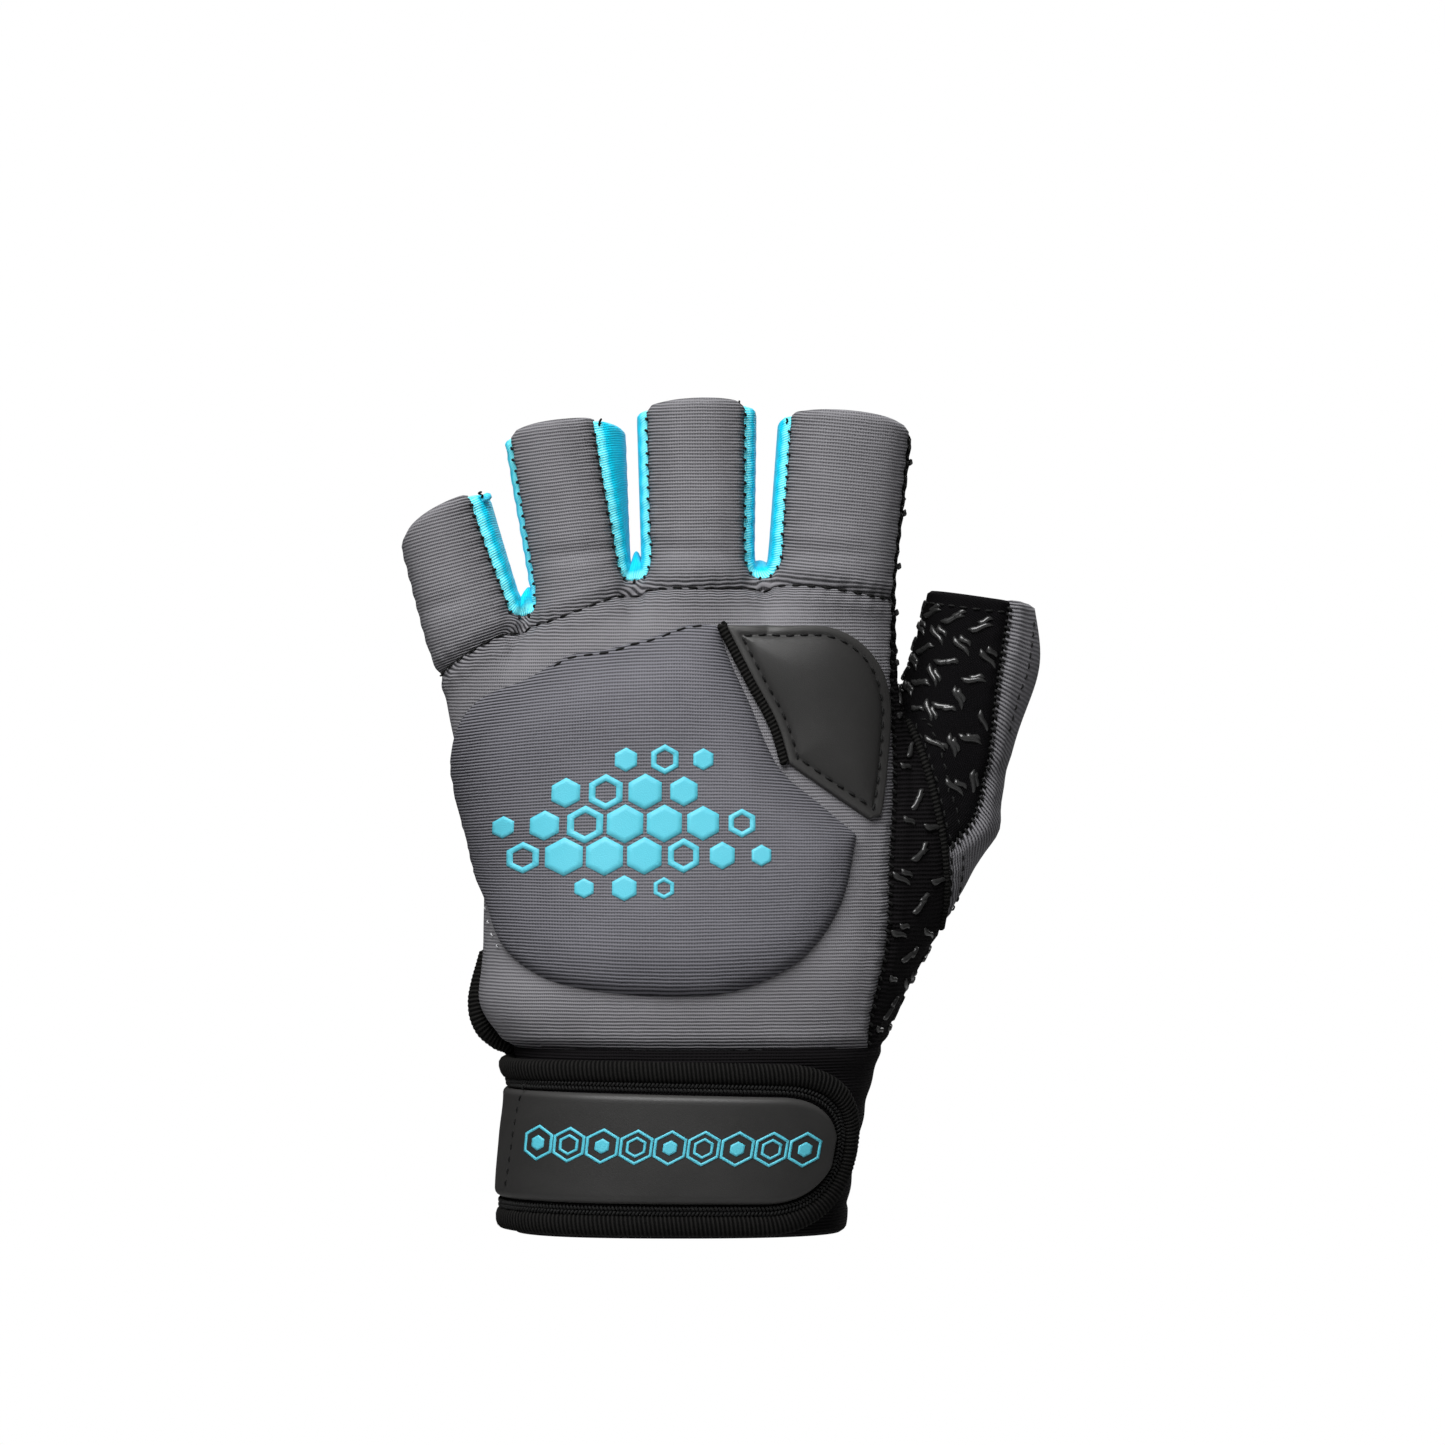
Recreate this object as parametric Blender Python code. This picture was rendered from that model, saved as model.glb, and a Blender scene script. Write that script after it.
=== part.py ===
"""A field hockey glove for the left hand, in the form that it has when worn.

The origin is the centre of the wrist opening. +Z runs to the fingertips, -Y is the back of the hand
and +X is the thumb side. One surface, the form, is drawn round the hand, the fingers and the thumb.
It is then cut along the seams into cloth panels, and each panel gets its own wall inwards.
The shell pad, patch, strap and bindings lie on that surface.
"""

import functools
import math

import bmesh
import bpy
import numpy as np
from mathutils import Vector

for old in list(bpy.data.objects):
    bpy.data.objects.remove(old, do_unlink=True)

MM = 0.001

# Overall sizes of the worn glove
CUFF_HEIGHT = 37.0 * MM
HAND_LENGTH = 93.0 * MM
SLEEVE_LENGTH = 34.0 * MM
WRIST_BREADTH = 75.0 * MM
WRIST_DEPTH = 46.0 * MM
KNUCKLE_BREADTH = 92.0 * MM
HAND_DEPTH = 36.0 * MM
FINGER_DEPTH = 21.0 * MM
KNUCKLE_FADE = 13.0 * MM
THUMB_REACH = 30.0 * MM
THUMB_LENGTH = 69.0 * MM
THUMB_DEPTH = 24.0 * MM

# Cloth and seams
FOAM_CLOTH = 2.0 * MM
PALM_CLOTH = 1.4 * MM
GUSSET_CLOTH = 1.0 * MM
CUFF_CLOTH = 1.8 * MM
SEAM_GAP = 0.45 * MM
LAY_GAP = 0.8 * MM
UNDER_GAP = 1.0 * MM
EDGE_GAP = 0.4 * MM

# Shell pad and knuckle patch
PAD_EDGE = 1.3 * MM
PAD_HEIGHT = 5.6 * MM
PATCH_EDGE = 1.2 * MM
PATCH_HEIGHT = 3.0 * MM

# Strap, its tape and its label
STRAP_START_WIDTH = CUFF_HEIGHT - 1.4 * MM
STRAP_END_WIDTH = CUFF_HEIGHT - 3.6 * MM
STRAP_START_MIDDLE = CUFF_HEIGHT / 2 + 0.1 * MM
STRAP_END_MIDDLE = CUFF_HEIGHT / 2 - 1.2 * MM
STRAP_END_ROUND = 19.0 * MM
STRAP_THICK = 2.2 * MM
STRAP_CLEARANCE = 0.45 * MM
STRAP_START = 262.0
STRAP_END = 25.0
TAPE_WIDTH = 4.4 * MM
TAPE_THICK = 3.4 * MM
LABEL_MARGIN = 1.6 * MM
LABEL_THICK = 0.9 * MM
LABEL_GAP = 0.45 * MM
LABEL_START = 196.0
BAND_PITCH = 5.5 * MM
END_ANGLES = (20, 38, 54, 67, 78, 86)

# Cords and bound edges
PIPING_RADIUS = 0.9 * MM
BOUND_EDGE_RADIUS = 1.5 * MM
PIPING_FROM = 0.12
PIPING_TO = 0.93

# Roundness of each section: 2 is an ellipse, more is squarer
HAND_POWER = 2.35
FINGER_POWER = 2.2
THUMB_POWER = 2.1
END_POWER = 2.2

# How finely the form is drawn
FINGER_COLUMNS = 5
SIDE_COLUMNS = 3
CROTCH_COLUMNS = 4
SLEEVE_ROWS = 4
THUMB_COLUMNS = 16
THUMB_ROWS = 6

# Sections of the cuff. height is a share of CUFF_HEIGHT; left and right are shares of WRIST_BREADTH
# from the middle; back and palm are shares of WRIST_DEPTH
CUFF_SECTIONS = (
    # height, left, right, back, palm
    (0.00, -0.408, 0.464, 0.490, 0.490),
    (0.25, -0.408, 0.487, 0.500, 0.495),
    (0.50, -0.398, 0.510, 0.500, 0.500),
    (0.80, -0.388, 0.541, 0.498, 0.500),
    (1.00, -0.415, 0.573, 0.487, 0.490),
)

# Sections of the hand. height is a share of HAND_LENGTH above the cuff; left and right are shares of
# KNUCKLE_BREADTH; back and palm are shares of HAND_DEPTH. wrist is how far a row follows the wrist's
# breadth and depth instead. seam is the angle of the seam on the thumb side, in degrees
HAND_SECTIONS = (
    # height, left, right, back, palm, wrist, seam
    (0.00, -0.415, 0.573, 0.487, 0.490, 1.0, 24.0),
    (0.07, -0.408, 0.482, 0.630, 0.570, 0.0, 27.0),
    (0.18, -0.400, 0.530, 0.600, 0.560, 0.0, 32.0),
    (0.28, -0.400, 0.548, 0.550, 0.560, 0.0, 34.0),
    (0.40, -0.398, 0.538, 0.510, 0.560, 0.0, 31.0),
    (0.50, -0.422, 0.524, 0.480, 0.550, 0.0, 24.0),
    (0.60, -0.450, 0.510, 0.460, 0.530, 0.0, 16.0),
    (0.70, -0.474, 0.496, 0.445, 0.510, 0.0, 10.0),
    (0.80, -0.495, 0.491, 0.430, 0.480, 0.0, 6.0),
    (0.90, -0.530, 0.493, 0.400, 0.440, 0.0, 5.0),
    (1.02, -0.560, 0.496, 0.370, 0.410, 0.0, 5.0),
)

# Finger sleeves, from the little finger. x is a share of KNUCKLE_BREADTH, z of HAND_LENGTH at the
# base, and rise of SLEEVE_LENGTH from the base to the top edge. back and palm are shares of
# FINGER_DEPTH. lift is how much higher the top edge is at the back, as a share of SLEEVE_LENGTH.
# The last four columns are the angles of the seams, in degrees round the sleeve
FINGERS = (
    # left x, z, right x, z, top left x, rise, top right x, rise, back, palm, lift,
    # back left, back right, palm right, palm left
    (-0.520, 0.850, -0.316, 0.945, -0.578, 0.612, -0.380, 0.600, 0.43, 0.42, 0.10,
     200.0, 60.0, -35.0, -160.0),
    (-0.290, 0.948, -0.080, 1.018, -0.350, 0.935, -0.088, 0.800, 0.50, 0.48, 0.09,
     164.0, 47.0, -30.0, -150.0),
    (-0.058, 1.020, 0.188, 1.028, -0.068, 0.875, 0.193, 0.880, 0.52, 0.50, 0.09,
     160.0, 31.0, -28.0, -150.0),
    (0.215, 1.028, 0.493, 1.000, 0.237, 0.820, 0.528, 0.840, 0.52, 0.50, 0.095,
     152.0, 5.0, 5.0, -150.0),
)

# Dip of each crotch below the sleeves' bases, back edge and palm edge, as shares of SLEEVE_LENGTH
CROTCH_BACK_DIP = 0.075
CROTCH_PALM_DIP = -0.03

# Thumb sleeve, ring by ring from the hole in the palm to the hem. along is the ring's place. The web
# side and the outer side give x as a share of THUMB_REACH beyond the web, z as a share of
# THUMB_LENGTH above the foot of the hole. front and rear are shares of THUMB_DEPTH from middle, and
# bow pushes the front towards the thumb's outer side. seam is the angle of the black and grey seam
THUMB_RINGS = (
    # along, web x, z, outer x, z, middle, front, rear, bow, seam
    (0.00, 0.000, 0.645, 0.245, 0.006, 0.34, 0.46, 0.50, 0.17, 76.0),
    (0.14, 0.027, 0.692, 0.480, 0.143, 0.40, 0.46, 0.50, 0.14, 64.0),
    (0.28, 0.057, 0.742, 0.680, 0.319, 0.45, 0.45, 0.50, 0.10, 58.0),
    (0.42, 0.093, 0.794, 0.747, 0.492, 0.48, 0.44, 0.46, 0.05, 56.0),
    (0.56, 0.127, 0.845, 0.853, 0.624, 0.50, 0.44, 0.44, 0.02, 62.0),
    (0.70, 0.163, 0.897, 0.970, 0.736, 0.50, 0.43, 0.42, 0.00, 70.0),
    (0.85, 0.193, 0.949, 1.007, 0.827, 0.50, 0.42, 0.41, 0.00, 70.0),
    (1.00, 0.220, 1.000, 0.947, 0.955, 0.49, 0.41, 0.40, 0.00, 58.0),
)
THUMB_FOOT = 21.6 * MM
THUMB_REAR_SEAM = -90.0
THUMB_SEAM_COLUMN = 5
THUMB_REAR_COLUMN = 12

# Rows of the hand, as shares of the way from the cuff to the fingers. The thumb hole takes the rows
# from HOLE_LOW to HOLE_HIGH and HOLE_COLUMNS columns from HOLE_FRONT, counted from the thumb seam
HAND_ROWS = (0.0, 0.05, 0.11, 0.18, 0.25, 0.30, 0.37, 0.45, 0.53, 0.61, 0.675, 0.75, 0.83, 0.90)
HOLE_LOW = 4
HOLE_HIGH = 10
HOLE_FRONT = 3
HOLE_COLUMNS = 2
LITTLE_BACK_COLUMNS = 7
INDEX_PALM_COLUMNS = 9
RELAX_COLUMNS = 17
RELAX_ROUNDS = 300
CUFF_ROWS = 5
PIPING_STATIONS = 15
CUFF_COLUMNS = 40
ARC_SAMPLES = 61

# The running seam below the knuckles: x as a share of KNUCKLE_BREADTH, z of HAND_LENGTH
KNUCKLE_SEAM = (
    # x, z
    (-0.520, 0.785),
    (-0.410, 0.847),
    (-0.320, 0.890),
    (-0.235, 0.916),
    (-0.110, 0.965),
    (-0.030, 0.984),
    (0.160, 0.984),
    (0.245, 0.996),
    (0.340, 0.992),
    (0.420, 0.975),
    (0.500, 0.958),
)

# Outlines on the back of the hand: x as a share of KNUCKLE_BREADTH, z of HAND_LENGTH. A corner is a
# point given twice
PAD_OUTLINE = (
    # x, z
    (0.112, 0.901),
    (0.112, 0.901),
    (0.048, 0.903),
    (-0.035, 0.876),
    (-0.135, 0.849),
    (-0.213, 0.837),
    (-0.304, 0.787),
    (-0.400, 0.748),
    (-0.450, 0.690),
    (-0.466, 0.600),
    (-0.456, 0.500),
    (-0.428, 0.400),
    (-0.390, 0.310),
    (-0.352, 0.214),
    (-0.265, 0.150),
    (-0.135, 0.122),
    (0.017, 0.113),
    (0.152, 0.126),
    (0.289, 0.193),
    (0.374, 0.310),
    (0.408, 0.455),
    (0.408, 0.455),
    (0.330, 0.520),
    (0.240, 0.600),
    (0.180, 0.730),
    (0.130, 0.840),
)
PATCH_OUTLINE = (
    # x, z
    (0.122, 0.900),
    (0.122, 0.900),
    (0.222, 0.897),
    (0.352, 0.896),
    (0.436, 0.842),
    (0.474, 0.746),
    (0.470, 0.600),
    (0.457, 0.494),
    (0.457, 0.494),
    (0.432, 0.486),
    (0.432, 0.486),
    (0.345, 0.545),
    (0.258, 0.606),
    (0.258, 0.606),
    (0.232, 0.690),
    (0.180, 0.788),
)
PAD_POINTS = 48
PAD_SHARES = (0.34, 0.58, 0.74, 0.84, 0.91, 0.96, 1.0)
PATCH_POINTS = 30
PATCH_SHARES = (0.40, 0.72, 0.90, 1.0)

# The bound edge that stands out at the foot of the hand, on the little-finger side: height as a
# share of HAND_LENGTH, out as a share of HAND_DEPTH beyond the panel, angle round the hand
BOUND_EDGE = (
    # height, out, angle
    (0.230, 0.000, 212.0),
    (0.190, 0.010, 206.0),
    (0.145, 0.030, 201.0),
    (0.095, 0.045, 197.0),
    (0.055, 0.040, 197.0),
    (0.025, 0.020, 201.0),
    (0.017, 0.000, 210.0),
)


def smooth_at(places, values, place):
    """A smooth curve through the table's values, read at one place."""
    places = np.asarray(places, float)
    values = np.asarray(values, float)
    slopes = np.gradient(values, places)
    place = min(max(place, places[0]), places[-1])
    i = min(int(np.searchsorted(places, place, side="right")) - 1, len(places) - 2)
    step = places[i + 1] - places[i]
    t = (place - places[i]) / step
    return (
        (2 * t**3 - 3 * t**2 + 1) * values[i]
        + (t**3 - 2 * t**2 + t) * step * slopes[i]
        + (3 * t**2 - 2 * t**3) * values[i + 1]
        + (t**3 - t**2) * step * slopes[i + 1]
    )


def column(table, index):
    """One named column of a table."""
    return [row[index] for row in table]


def ring_point(left, right, back, palm, degrees, power):
    """A point on a rounded section: 0 is the right end, 90 the back, 180 the left, -90 the palm."""
    c = math.cos(math.radians(degrees))
    s = math.sin(math.radians(degrees))
    across = math.copysign(abs(c) ** (2 / power), c)
    deep = abs(s) ** (2 / power)
    side = back if s >= 0 else palm
    return (left + right) / 2 + (right - left) / 2 * across + side * deep


def vector(x, y, z):
    return np.array((x, y, z), float)


def cuff_point(degrees, z):
    """A point on the cuff's outer surface."""
    height = z / CUFF_HEIGHT
    places = column(CUFF_SECTIONS, 0)
    left, right, back, palm = (
        smooth_at(places, column(CUFF_SECTIONS, i), height) for i in range(1, 5)
    )
    return ring_point(
        vector(left * WRIST_BREADTH, 0, z),
        vector(right * WRIST_BREADTH, 0, z),
        vector(0, -back * WRIST_DEPTH, 0),
        vector(0, palm * WRIST_DEPTH, 0),
        degrees,
        HAND_POWER,
    )


@functools.lru_cache(maxsize=None)
def hand_section(z):
    """The smooth hand at a height: left, right, back and palm in metres and the seam's angle."""
    height = (z - CUFF_HEIGHT) / HAND_LENGTH
    places = column(HAND_SECTIONS, 0)
    wrist = column(HAND_SECTIONS, 5)
    breadths = [KNUCKLE_BREADTH + w * (WRIST_BREADTH - KNUCKLE_BREADTH) for w in wrist]
    depths = [HAND_DEPTH + w * (WRIST_DEPTH - HAND_DEPTH) for w in wrist]
    values = []
    for index, sizes in ((1, breadths), (2, breadths), (3, depths), (4, depths)):
        lengths = [share * size for share, size in zip(column(HAND_SECTIONS, index), sizes)]
        values.append(smooth_at(places, lengths, height))
    values.append(smooth_at(places, column(HAND_SECTIONS, 6), height))
    return values


def hand_point(degrees, z):
    """A point on the smooth hand, before the fingers shape it."""
    left, right, back, palm, _ = hand_section(z)
    return ring_point(
        vector(left, 0, z), vector(right, 0, z), vector(0, -back, 0), vector(0, palm, 0),
        degrees, HAND_POWER,
    )


def finger_point(finger, degrees, along):
    """A point on a finger sleeve; along is 0 at the base and 1 at the top edge."""
    (lx, lz, rx, rz, tlx, tlz, trx, trz, back, palm, lift) = finger[:11]
    base_z = CUFF_HEIGHT
    left0 = vector(lx * KNUCKLE_BREADTH, 0, base_z + lz * HAND_LENGTH)
    right0 = vector(rx * KNUCKLE_BREADTH, 0, base_z + rz * HAND_LENGTH)
    left1 = vector(tlx * KNUCKLE_BREADTH, 0, left0[2] + tlz * SLEEVE_LENGTH)
    right1 = vector(trx * KNUCKLE_BREADTH, 0, right0[2] + trz * SLEEVE_LENGTH)
    rise = lift * SLEEVE_LENGTH * along
    return ring_point(
        left0 + (left1 - left0) * along,
        right0 + (right1 - right0) * along,
        vector(0, -back * FINGER_DEPTH, rise),
        vector(0, palm * FINGER_DEPTH, -rise),
        degrees,
        FINGER_POWER,
    )


def steps(first, last, count):
    """count + 1 even values from first to last."""
    return [first + (last - first) * i / count for i in range(count + 1)]


def crotch_point(a, b, across, side):
    """A point on the bottom of the U between two sleeves; side is 0 at the back and 1 at the palm."""
    start = finger_point(a, a[12] + (a[13] - a[12]) * side, 0)
    end = finger_point(b, b[11] + (b[14] + 360 - b[11]) * side, 0)
    dip = CROTCH_BACK_DIP + (CROTCH_PALM_DIP - CROTCH_BACK_DIP) * side
    point = start + (end - start) * across
    point[2] -= dip * SLEEVE_LENGTH * math.sin(math.pi * across)
    return point


def base_line(palm_side):
    """The points where the hand ends and the sleeves begin, and the columns of each sleeve."""
    points = []
    spans = []
    order = FINGERS if not palm_side else FINGERS[::-1]
    for number, finger in enumerate(order):
        if palm_side:
            count = INDEX_PALM_COLUMNS if number == 0 else FINGER_COLUMNS
            angles = steps(finger[13], finger[14], count)
        else:
            count = LITTLE_BACK_COLUMNS if number == 0 else FINGER_COLUMNS
            angles = steps(finger[11], finger[12], count)
        if points:
            points.pop()
        first = len(points)
        points.extend(finger_point(finger, degrees, 0) for degrees in angles)
        spans.append((finger, first, angles))
        if number == len(order) - 1:
            break
        other = order[number + 1]
        for across in steps(0, 1, CROTCH_COLUMNS)[1:]:
            if palm_side:
                points.append(crotch_point(other, finger, 1 - across, 1))
            else:
                points.append(crotch_point(finger, other, across, 0))
    return points, spans


BACK_BASE, BACK_SPANS = base_line(False)
PALM_BASE, PALM_SPANS = base_line(True)
LEFT_SEAM = FINGERS[0][11]
RIGHT_SEAM = FINGERS[3][12]


def arc_shares(points):
    """How far along a line of points each one lies, from 0 to 1."""
    gaps = np.linalg.norm(np.diff(np.array(points), axis=0), axis=1)
    lengths = np.concatenate([[0], np.cumsum(gaps)])
    return lengths / lengths[-1]


BACK_SHARES = arc_shares(BACK_BASE)
PALM_SHARES = arc_shares(PALM_BASE)


@functools.lru_cache(maxsize=None)
def side_arcs(z, palm_side):
    """Angles round one side of the hand at a height, and the share of the way that each has gone."""
    left, right, back, palm, seam = hand_section(z)
    if palm_side:
        angles = np.linspace(seam, LEFT_SEAM - 360, ARC_SAMPLES)
    else:
        angles = np.linspace(LEFT_SEAM, seam, ARC_SAMPLES)
    c = np.cos(np.radians(angles))
    s = np.sin(np.radians(angles))
    deep = np.where(s > 0, back, palm)
    flat = np.column_stack((
        (right - left) / 2 * np.sign(c) * np.abs(c) ** (2 / HAND_POWER),
        deep * np.sign(s) * np.abs(s) ** (2 / HAND_POWER),
    ))
    return arc_shares(flat), angles


def side_angle(share, z, palm_side):
    """The angle round the hand of a column at a height."""
    shares, angles = side_arcs(z, palm_side)
    return float(np.interp(share, shares, angles))


def base_offsets(points, shares, palm_side):
    """How far the finger bases stand off the smooth hand, column by column."""
    return np.array([
        point - hand_point(side_angle(share, point[2], palm_side), point[2])
        for point, share in zip(points, shares)
    ])


BACK_OFFSETS = base_offsets(BACK_BASE, BACK_SHARES, False)
PALM_OFFSETS = base_offsets(PALM_BASE, PALM_SHARES, True)
BACK_HEIGHTS = [point[2] for point in BACK_BASE]
PALM_HEIGHTS = [point[2] for point in PALM_BASE]


def side_point(share, z, palm_side):
    """A point on the back or the palm of the form, between the cuff and the finger bases."""
    shares = PALM_SHARES if palm_side else BACK_SHARES
    offsets = PALM_OFFSETS if palm_side else BACK_OFFSETS
    heights = PALM_HEIGHTS if palm_side else BACK_HEIGHTS
    top = np.interp(share, shares, heights)
    near = min(max(1 - (top - z) / KNUCKLE_FADE, 0.0), 1.0)
    near = near * near * (3 - 2 * near)
    offset = np.array([np.interp(share, shares, offsets[:, i]) for i in range(3)])
    return hand_point(side_angle(share, z, palm_side), z) + offset * near


def seam_height(x):
    """The height of the running seam below the knuckles."""
    places = [row[0] * KNUCKLE_BREADTH for row in KNUCKLE_SEAM]
    return CUFF_HEIGHT + smooth_at(places, column(KNUCKLE_SEAM, 1), x) * HAND_LENGTH


def hand_grid(palm_side):
    """Rows of points from the cuff to the finger bases. The row before the last follows the seam."""
    base = PALM_BASE if palm_side else BACK_BASE
    shares = PALM_SHARES if palm_side else BACK_SHARES
    rows = []
    for row_share in HAND_ROWS:
        rows.append([
            side_point(share, CUFF_HEIGHT + (end[2] - CUFF_HEIGHT) * row_share, palm_side)
            for share, end in zip(shares, base)
        ])
    rows.append([
        side_point(share, min(seam_height(end[0]), end[2] - SEAM_GAP * 3), palm_side)
        for share, end in zip(shares, base)
    ])
    rows.append([np.array(end) for end in base])
    return rows


def thumb_point(along, degrees):
    """A point on the thumb sleeve: 180 is the web side, 0 the outer side, 90 the camera side."""
    places = column(THUMB_RINGS, 0)
    wx, wz, ox, oz, middle, front, rear, bow = (
        smooth_at(places, column(THUMB_RINGS, i), along) for i in range(1, 9)
    )
    foot = CUFF_HEIGHT + THUMB_FOOT
    web_x = hand_section(foot + THUMB_RINGS[0][2] * THUMB_LENGTH)[1]
    y = middle * THUMB_DEPTH
    return ring_point(
        vector(web_x + wx * THUMB_REACH, y, foot + wz * THUMB_LENGTH),
        vector(web_x + ox * THUMB_REACH, y, foot + oz * THUMB_LENGTH),
        vector(bow * THUMB_REACH, -front * THUMB_DEPTH, 0),
        vector(-bow / 2 * THUMB_REACH, rear * THUMB_DEPTH, 0),
        degrees,
        THUMB_POWER,
    )


def thumb_angles(along):
    """The angles of the thumb's columns; one column follows the black and grey seam."""
    seam = smooth_at(column(THUMB_RINGS, 0), column(THUMB_RINGS, 9), along)
    first = steps(180.0, seam, THUMB_SEAM_COLUMN)
    second = steps(seam, THUMB_REAR_SEAM, THUMB_REAR_COLUMN - THUMB_SEAM_COLUMN)
    third = steps(THUMB_REAR_SEAM, -180.0, THUMB_COLUMNS - THUMB_REAR_COLUMN)
    return first + second[1:] + third[1:]


def thumb_ring(along):
    return [thumb_point(along, degrees) for degrees in thumb_angles(along)]


def hole_cells():
    """The vertices round the thumb hole, as row and column, in the order of the thumb's columns."""
    front = HOLE_FRONT
    rear = HOLE_FRONT + HOLE_COLUMNS
    middle = HOLE_FRONT + HOLE_COLUMNS // 2
    cells = [(HOLE_HIGH, middle)]
    cells += [(row, front) for row in range(HOLE_HIGH, HOLE_LOW - 1, -1)]
    cells.append((HOLE_LOW, middle))
    cells += [(row, rear) for row in range(HOLE_LOW, HOLE_HIGH + 1)]
    return cells


def relaxed_palm():
    """The palm's grid, drawn out smoothly to the foot of the thumb sleeve."""
    rows = np.array(hand_grid(True))
    pull = np.zeros_like(rows)
    fixed = np.zeros(rows.shape[:2], bool)
    fixed[0, :] = True
    fixed[-3:, :] = True
    fixed[:, 0] = True
    fixed[:, RELAX_COLUMNS:] = True
    for (row, col), target in zip(hole_cells(), thumb_ring(0.0)):
        pull[row, col] = target - rows[row, col]
        fixed[row, col] = True
    free = ~fixed
    for _ in range(RELAX_ROUNDS):
        mean = (
            np.roll(pull, 1, 0) + np.roll(pull, -1, 0) + np.roll(pull, 1, 1) + np.roll(pull, -1, 1)
        ) / 4
        pull[free] = mean[free]
    return rows + pull


def add_grid(form, layer, rows, panel, skip=()):
    """Add a grid of quads to the form and mark them with their panel."""
    made = [[form.verts.new(point) for point in row] for row in rows]
    for r in range(len(made) - 1):
        for c in range(len(made[0]) - 1):
            if (r, c) in skip:
                continue
            corners = (made[r][c], made[r][c + 1], made[r + 1][c + 1], made[r + 1][c])
            face = form.faces.new(corners)
            face[layer] = panel


PANELS = (
    "finger_panel", "hand_back", "palm", "gusset_little_ring", "gusset_ring_middle",
    "gusset_middle_index", "thumb_front", "thumb_back",
)
FIRST_GUSSET = PANELS.index("gusset_little_ring")


def build_form():
    """The whole glove as one open surface, each face marked with the panel that it belongs to."""
    form = bmesh.new()
    layer = form.faces.layers.int.new("panel")
    back_rows = hand_grid(False)
    add_grid(form, layer, back_rows[:-1], PANELS.index("hand_back"))
    add_grid(form, layer, back_rows[-2:], PANELS.index("finger_panel"))
    hole = {
        (r, c)
        for r in range(HOLE_LOW, HOLE_HIGH)
        for c in range(HOLE_FRONT, HOLE_FRONT + HOLE_COLUMNS)
    }
    add_grid(form, layer, relaxed_palm(), PANELS.index("palm"), hole)
    sleeve = steps(0, 1, SLEEVE_ROWS)
    for finger, _, angles in BACK_SPANS:
        rows = [[finger_point(finger, a, along) for a in angles] for along in sleeve]
        add_grid(form, layer, rows, PANELS.index("finger_panel"))
    for finger, _, angles in PALM_SPANS:
        rows = [[finger_point(finger, a, along) for a in angles] for along in sleeve]
        add_grid(form, layer, rows, PANELS.index("palm"))
    for number in range(3):
        add_grid(form, layer, gusset_rows(number), FIRST_GUSSET + number)
    rings = [thumb_ring(along) for along in steps(0, 1, THUMB_ROWS)]
    front_a = [ring[: THUMB_SEAM_COLUMN + 1] for ring in rings]
    outer = [ring[THUMB_SEAM_COLUMN : THUMB_REAR_COLUMN + 1] for ring in rings]
    front_b = [ring[THUMB_REAR_COLUMN:] for ring in rings]
    add_grid(form, layer, front_a, PANELS.index("thumb_front"))
    add_grid(form, layer, front_b, PANELS.index("thumb_front"))
    add_grid(form, layer, outer, PANELS.index("thumb_back"))
    bmesh.ops.remove_doubles(form, verts=form.verts, dist=0.00001)
    bmesh.ops.recalc_face_normals(form, faces=form.faces)
    form.faces.ensure_lookup_table()
    rearmost = min(form.faces, key=lambda face: face.calc_center_median().y)
    if rearmost.normal.y > 0:
        bmesh.ops.reverse_faces(form, faces=form.faces)
    form.normal_update()
    for vert in form.verts:
        if vert.co.z < CUFF_HEIGHT + SEAM_GAP:
            vert.normal = Vector((vert.normal.x, vert.normal.y, 0)).normalized()
    return form, layer


def gusset_rows(number):
    """The strip between two sleeves: down one side, over the crotch and up the other."""
    a = FINGERS[number]
    b = FINGERS[number + 1]
    sides = steps(0, 1, SIDE_COLUMNS)
    rows = []
    for along in steps(1, 0, SLEEVE_ROWS):
        rows.append([finger_point(a, a[12] + (a[13] - a[12]) * s, along) for s in sides])
    for across in steps(0, 1, CROTCH_COLUMNS)[1:-1]:
        rows.append([crotch_point(a, b, across, s) for s in sides])
    for along in steps(0, 1, SLEEVE_ROWS):
        rows.append([finger_point(b, b[11] + (b[14] + 360 - b[11]) * s, along) for s in sides])
    return rows


def finish(name, mesh_data, material, smooth_angle=40.0):
    """Put a bmesh into the scene as a named piece."""
    bmesh.ops.recalc_face_normals(mesh_data, faces=mesh_data.faces)
    mesh = bpy.data.meshes.new(name)
    mesh_data.to_mesh(mesh)
    mesh_data.free()
    mesh.shade_smooth()
    mesh.set_sharp_from_angle(angle=math.radians(smooth_angle))
    mesh.materials.append(material)
    piece = bpy.data.objects.new(name, mesh)
    bpy.context.scene.collection.objects.link(piece)
    return piece


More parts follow.
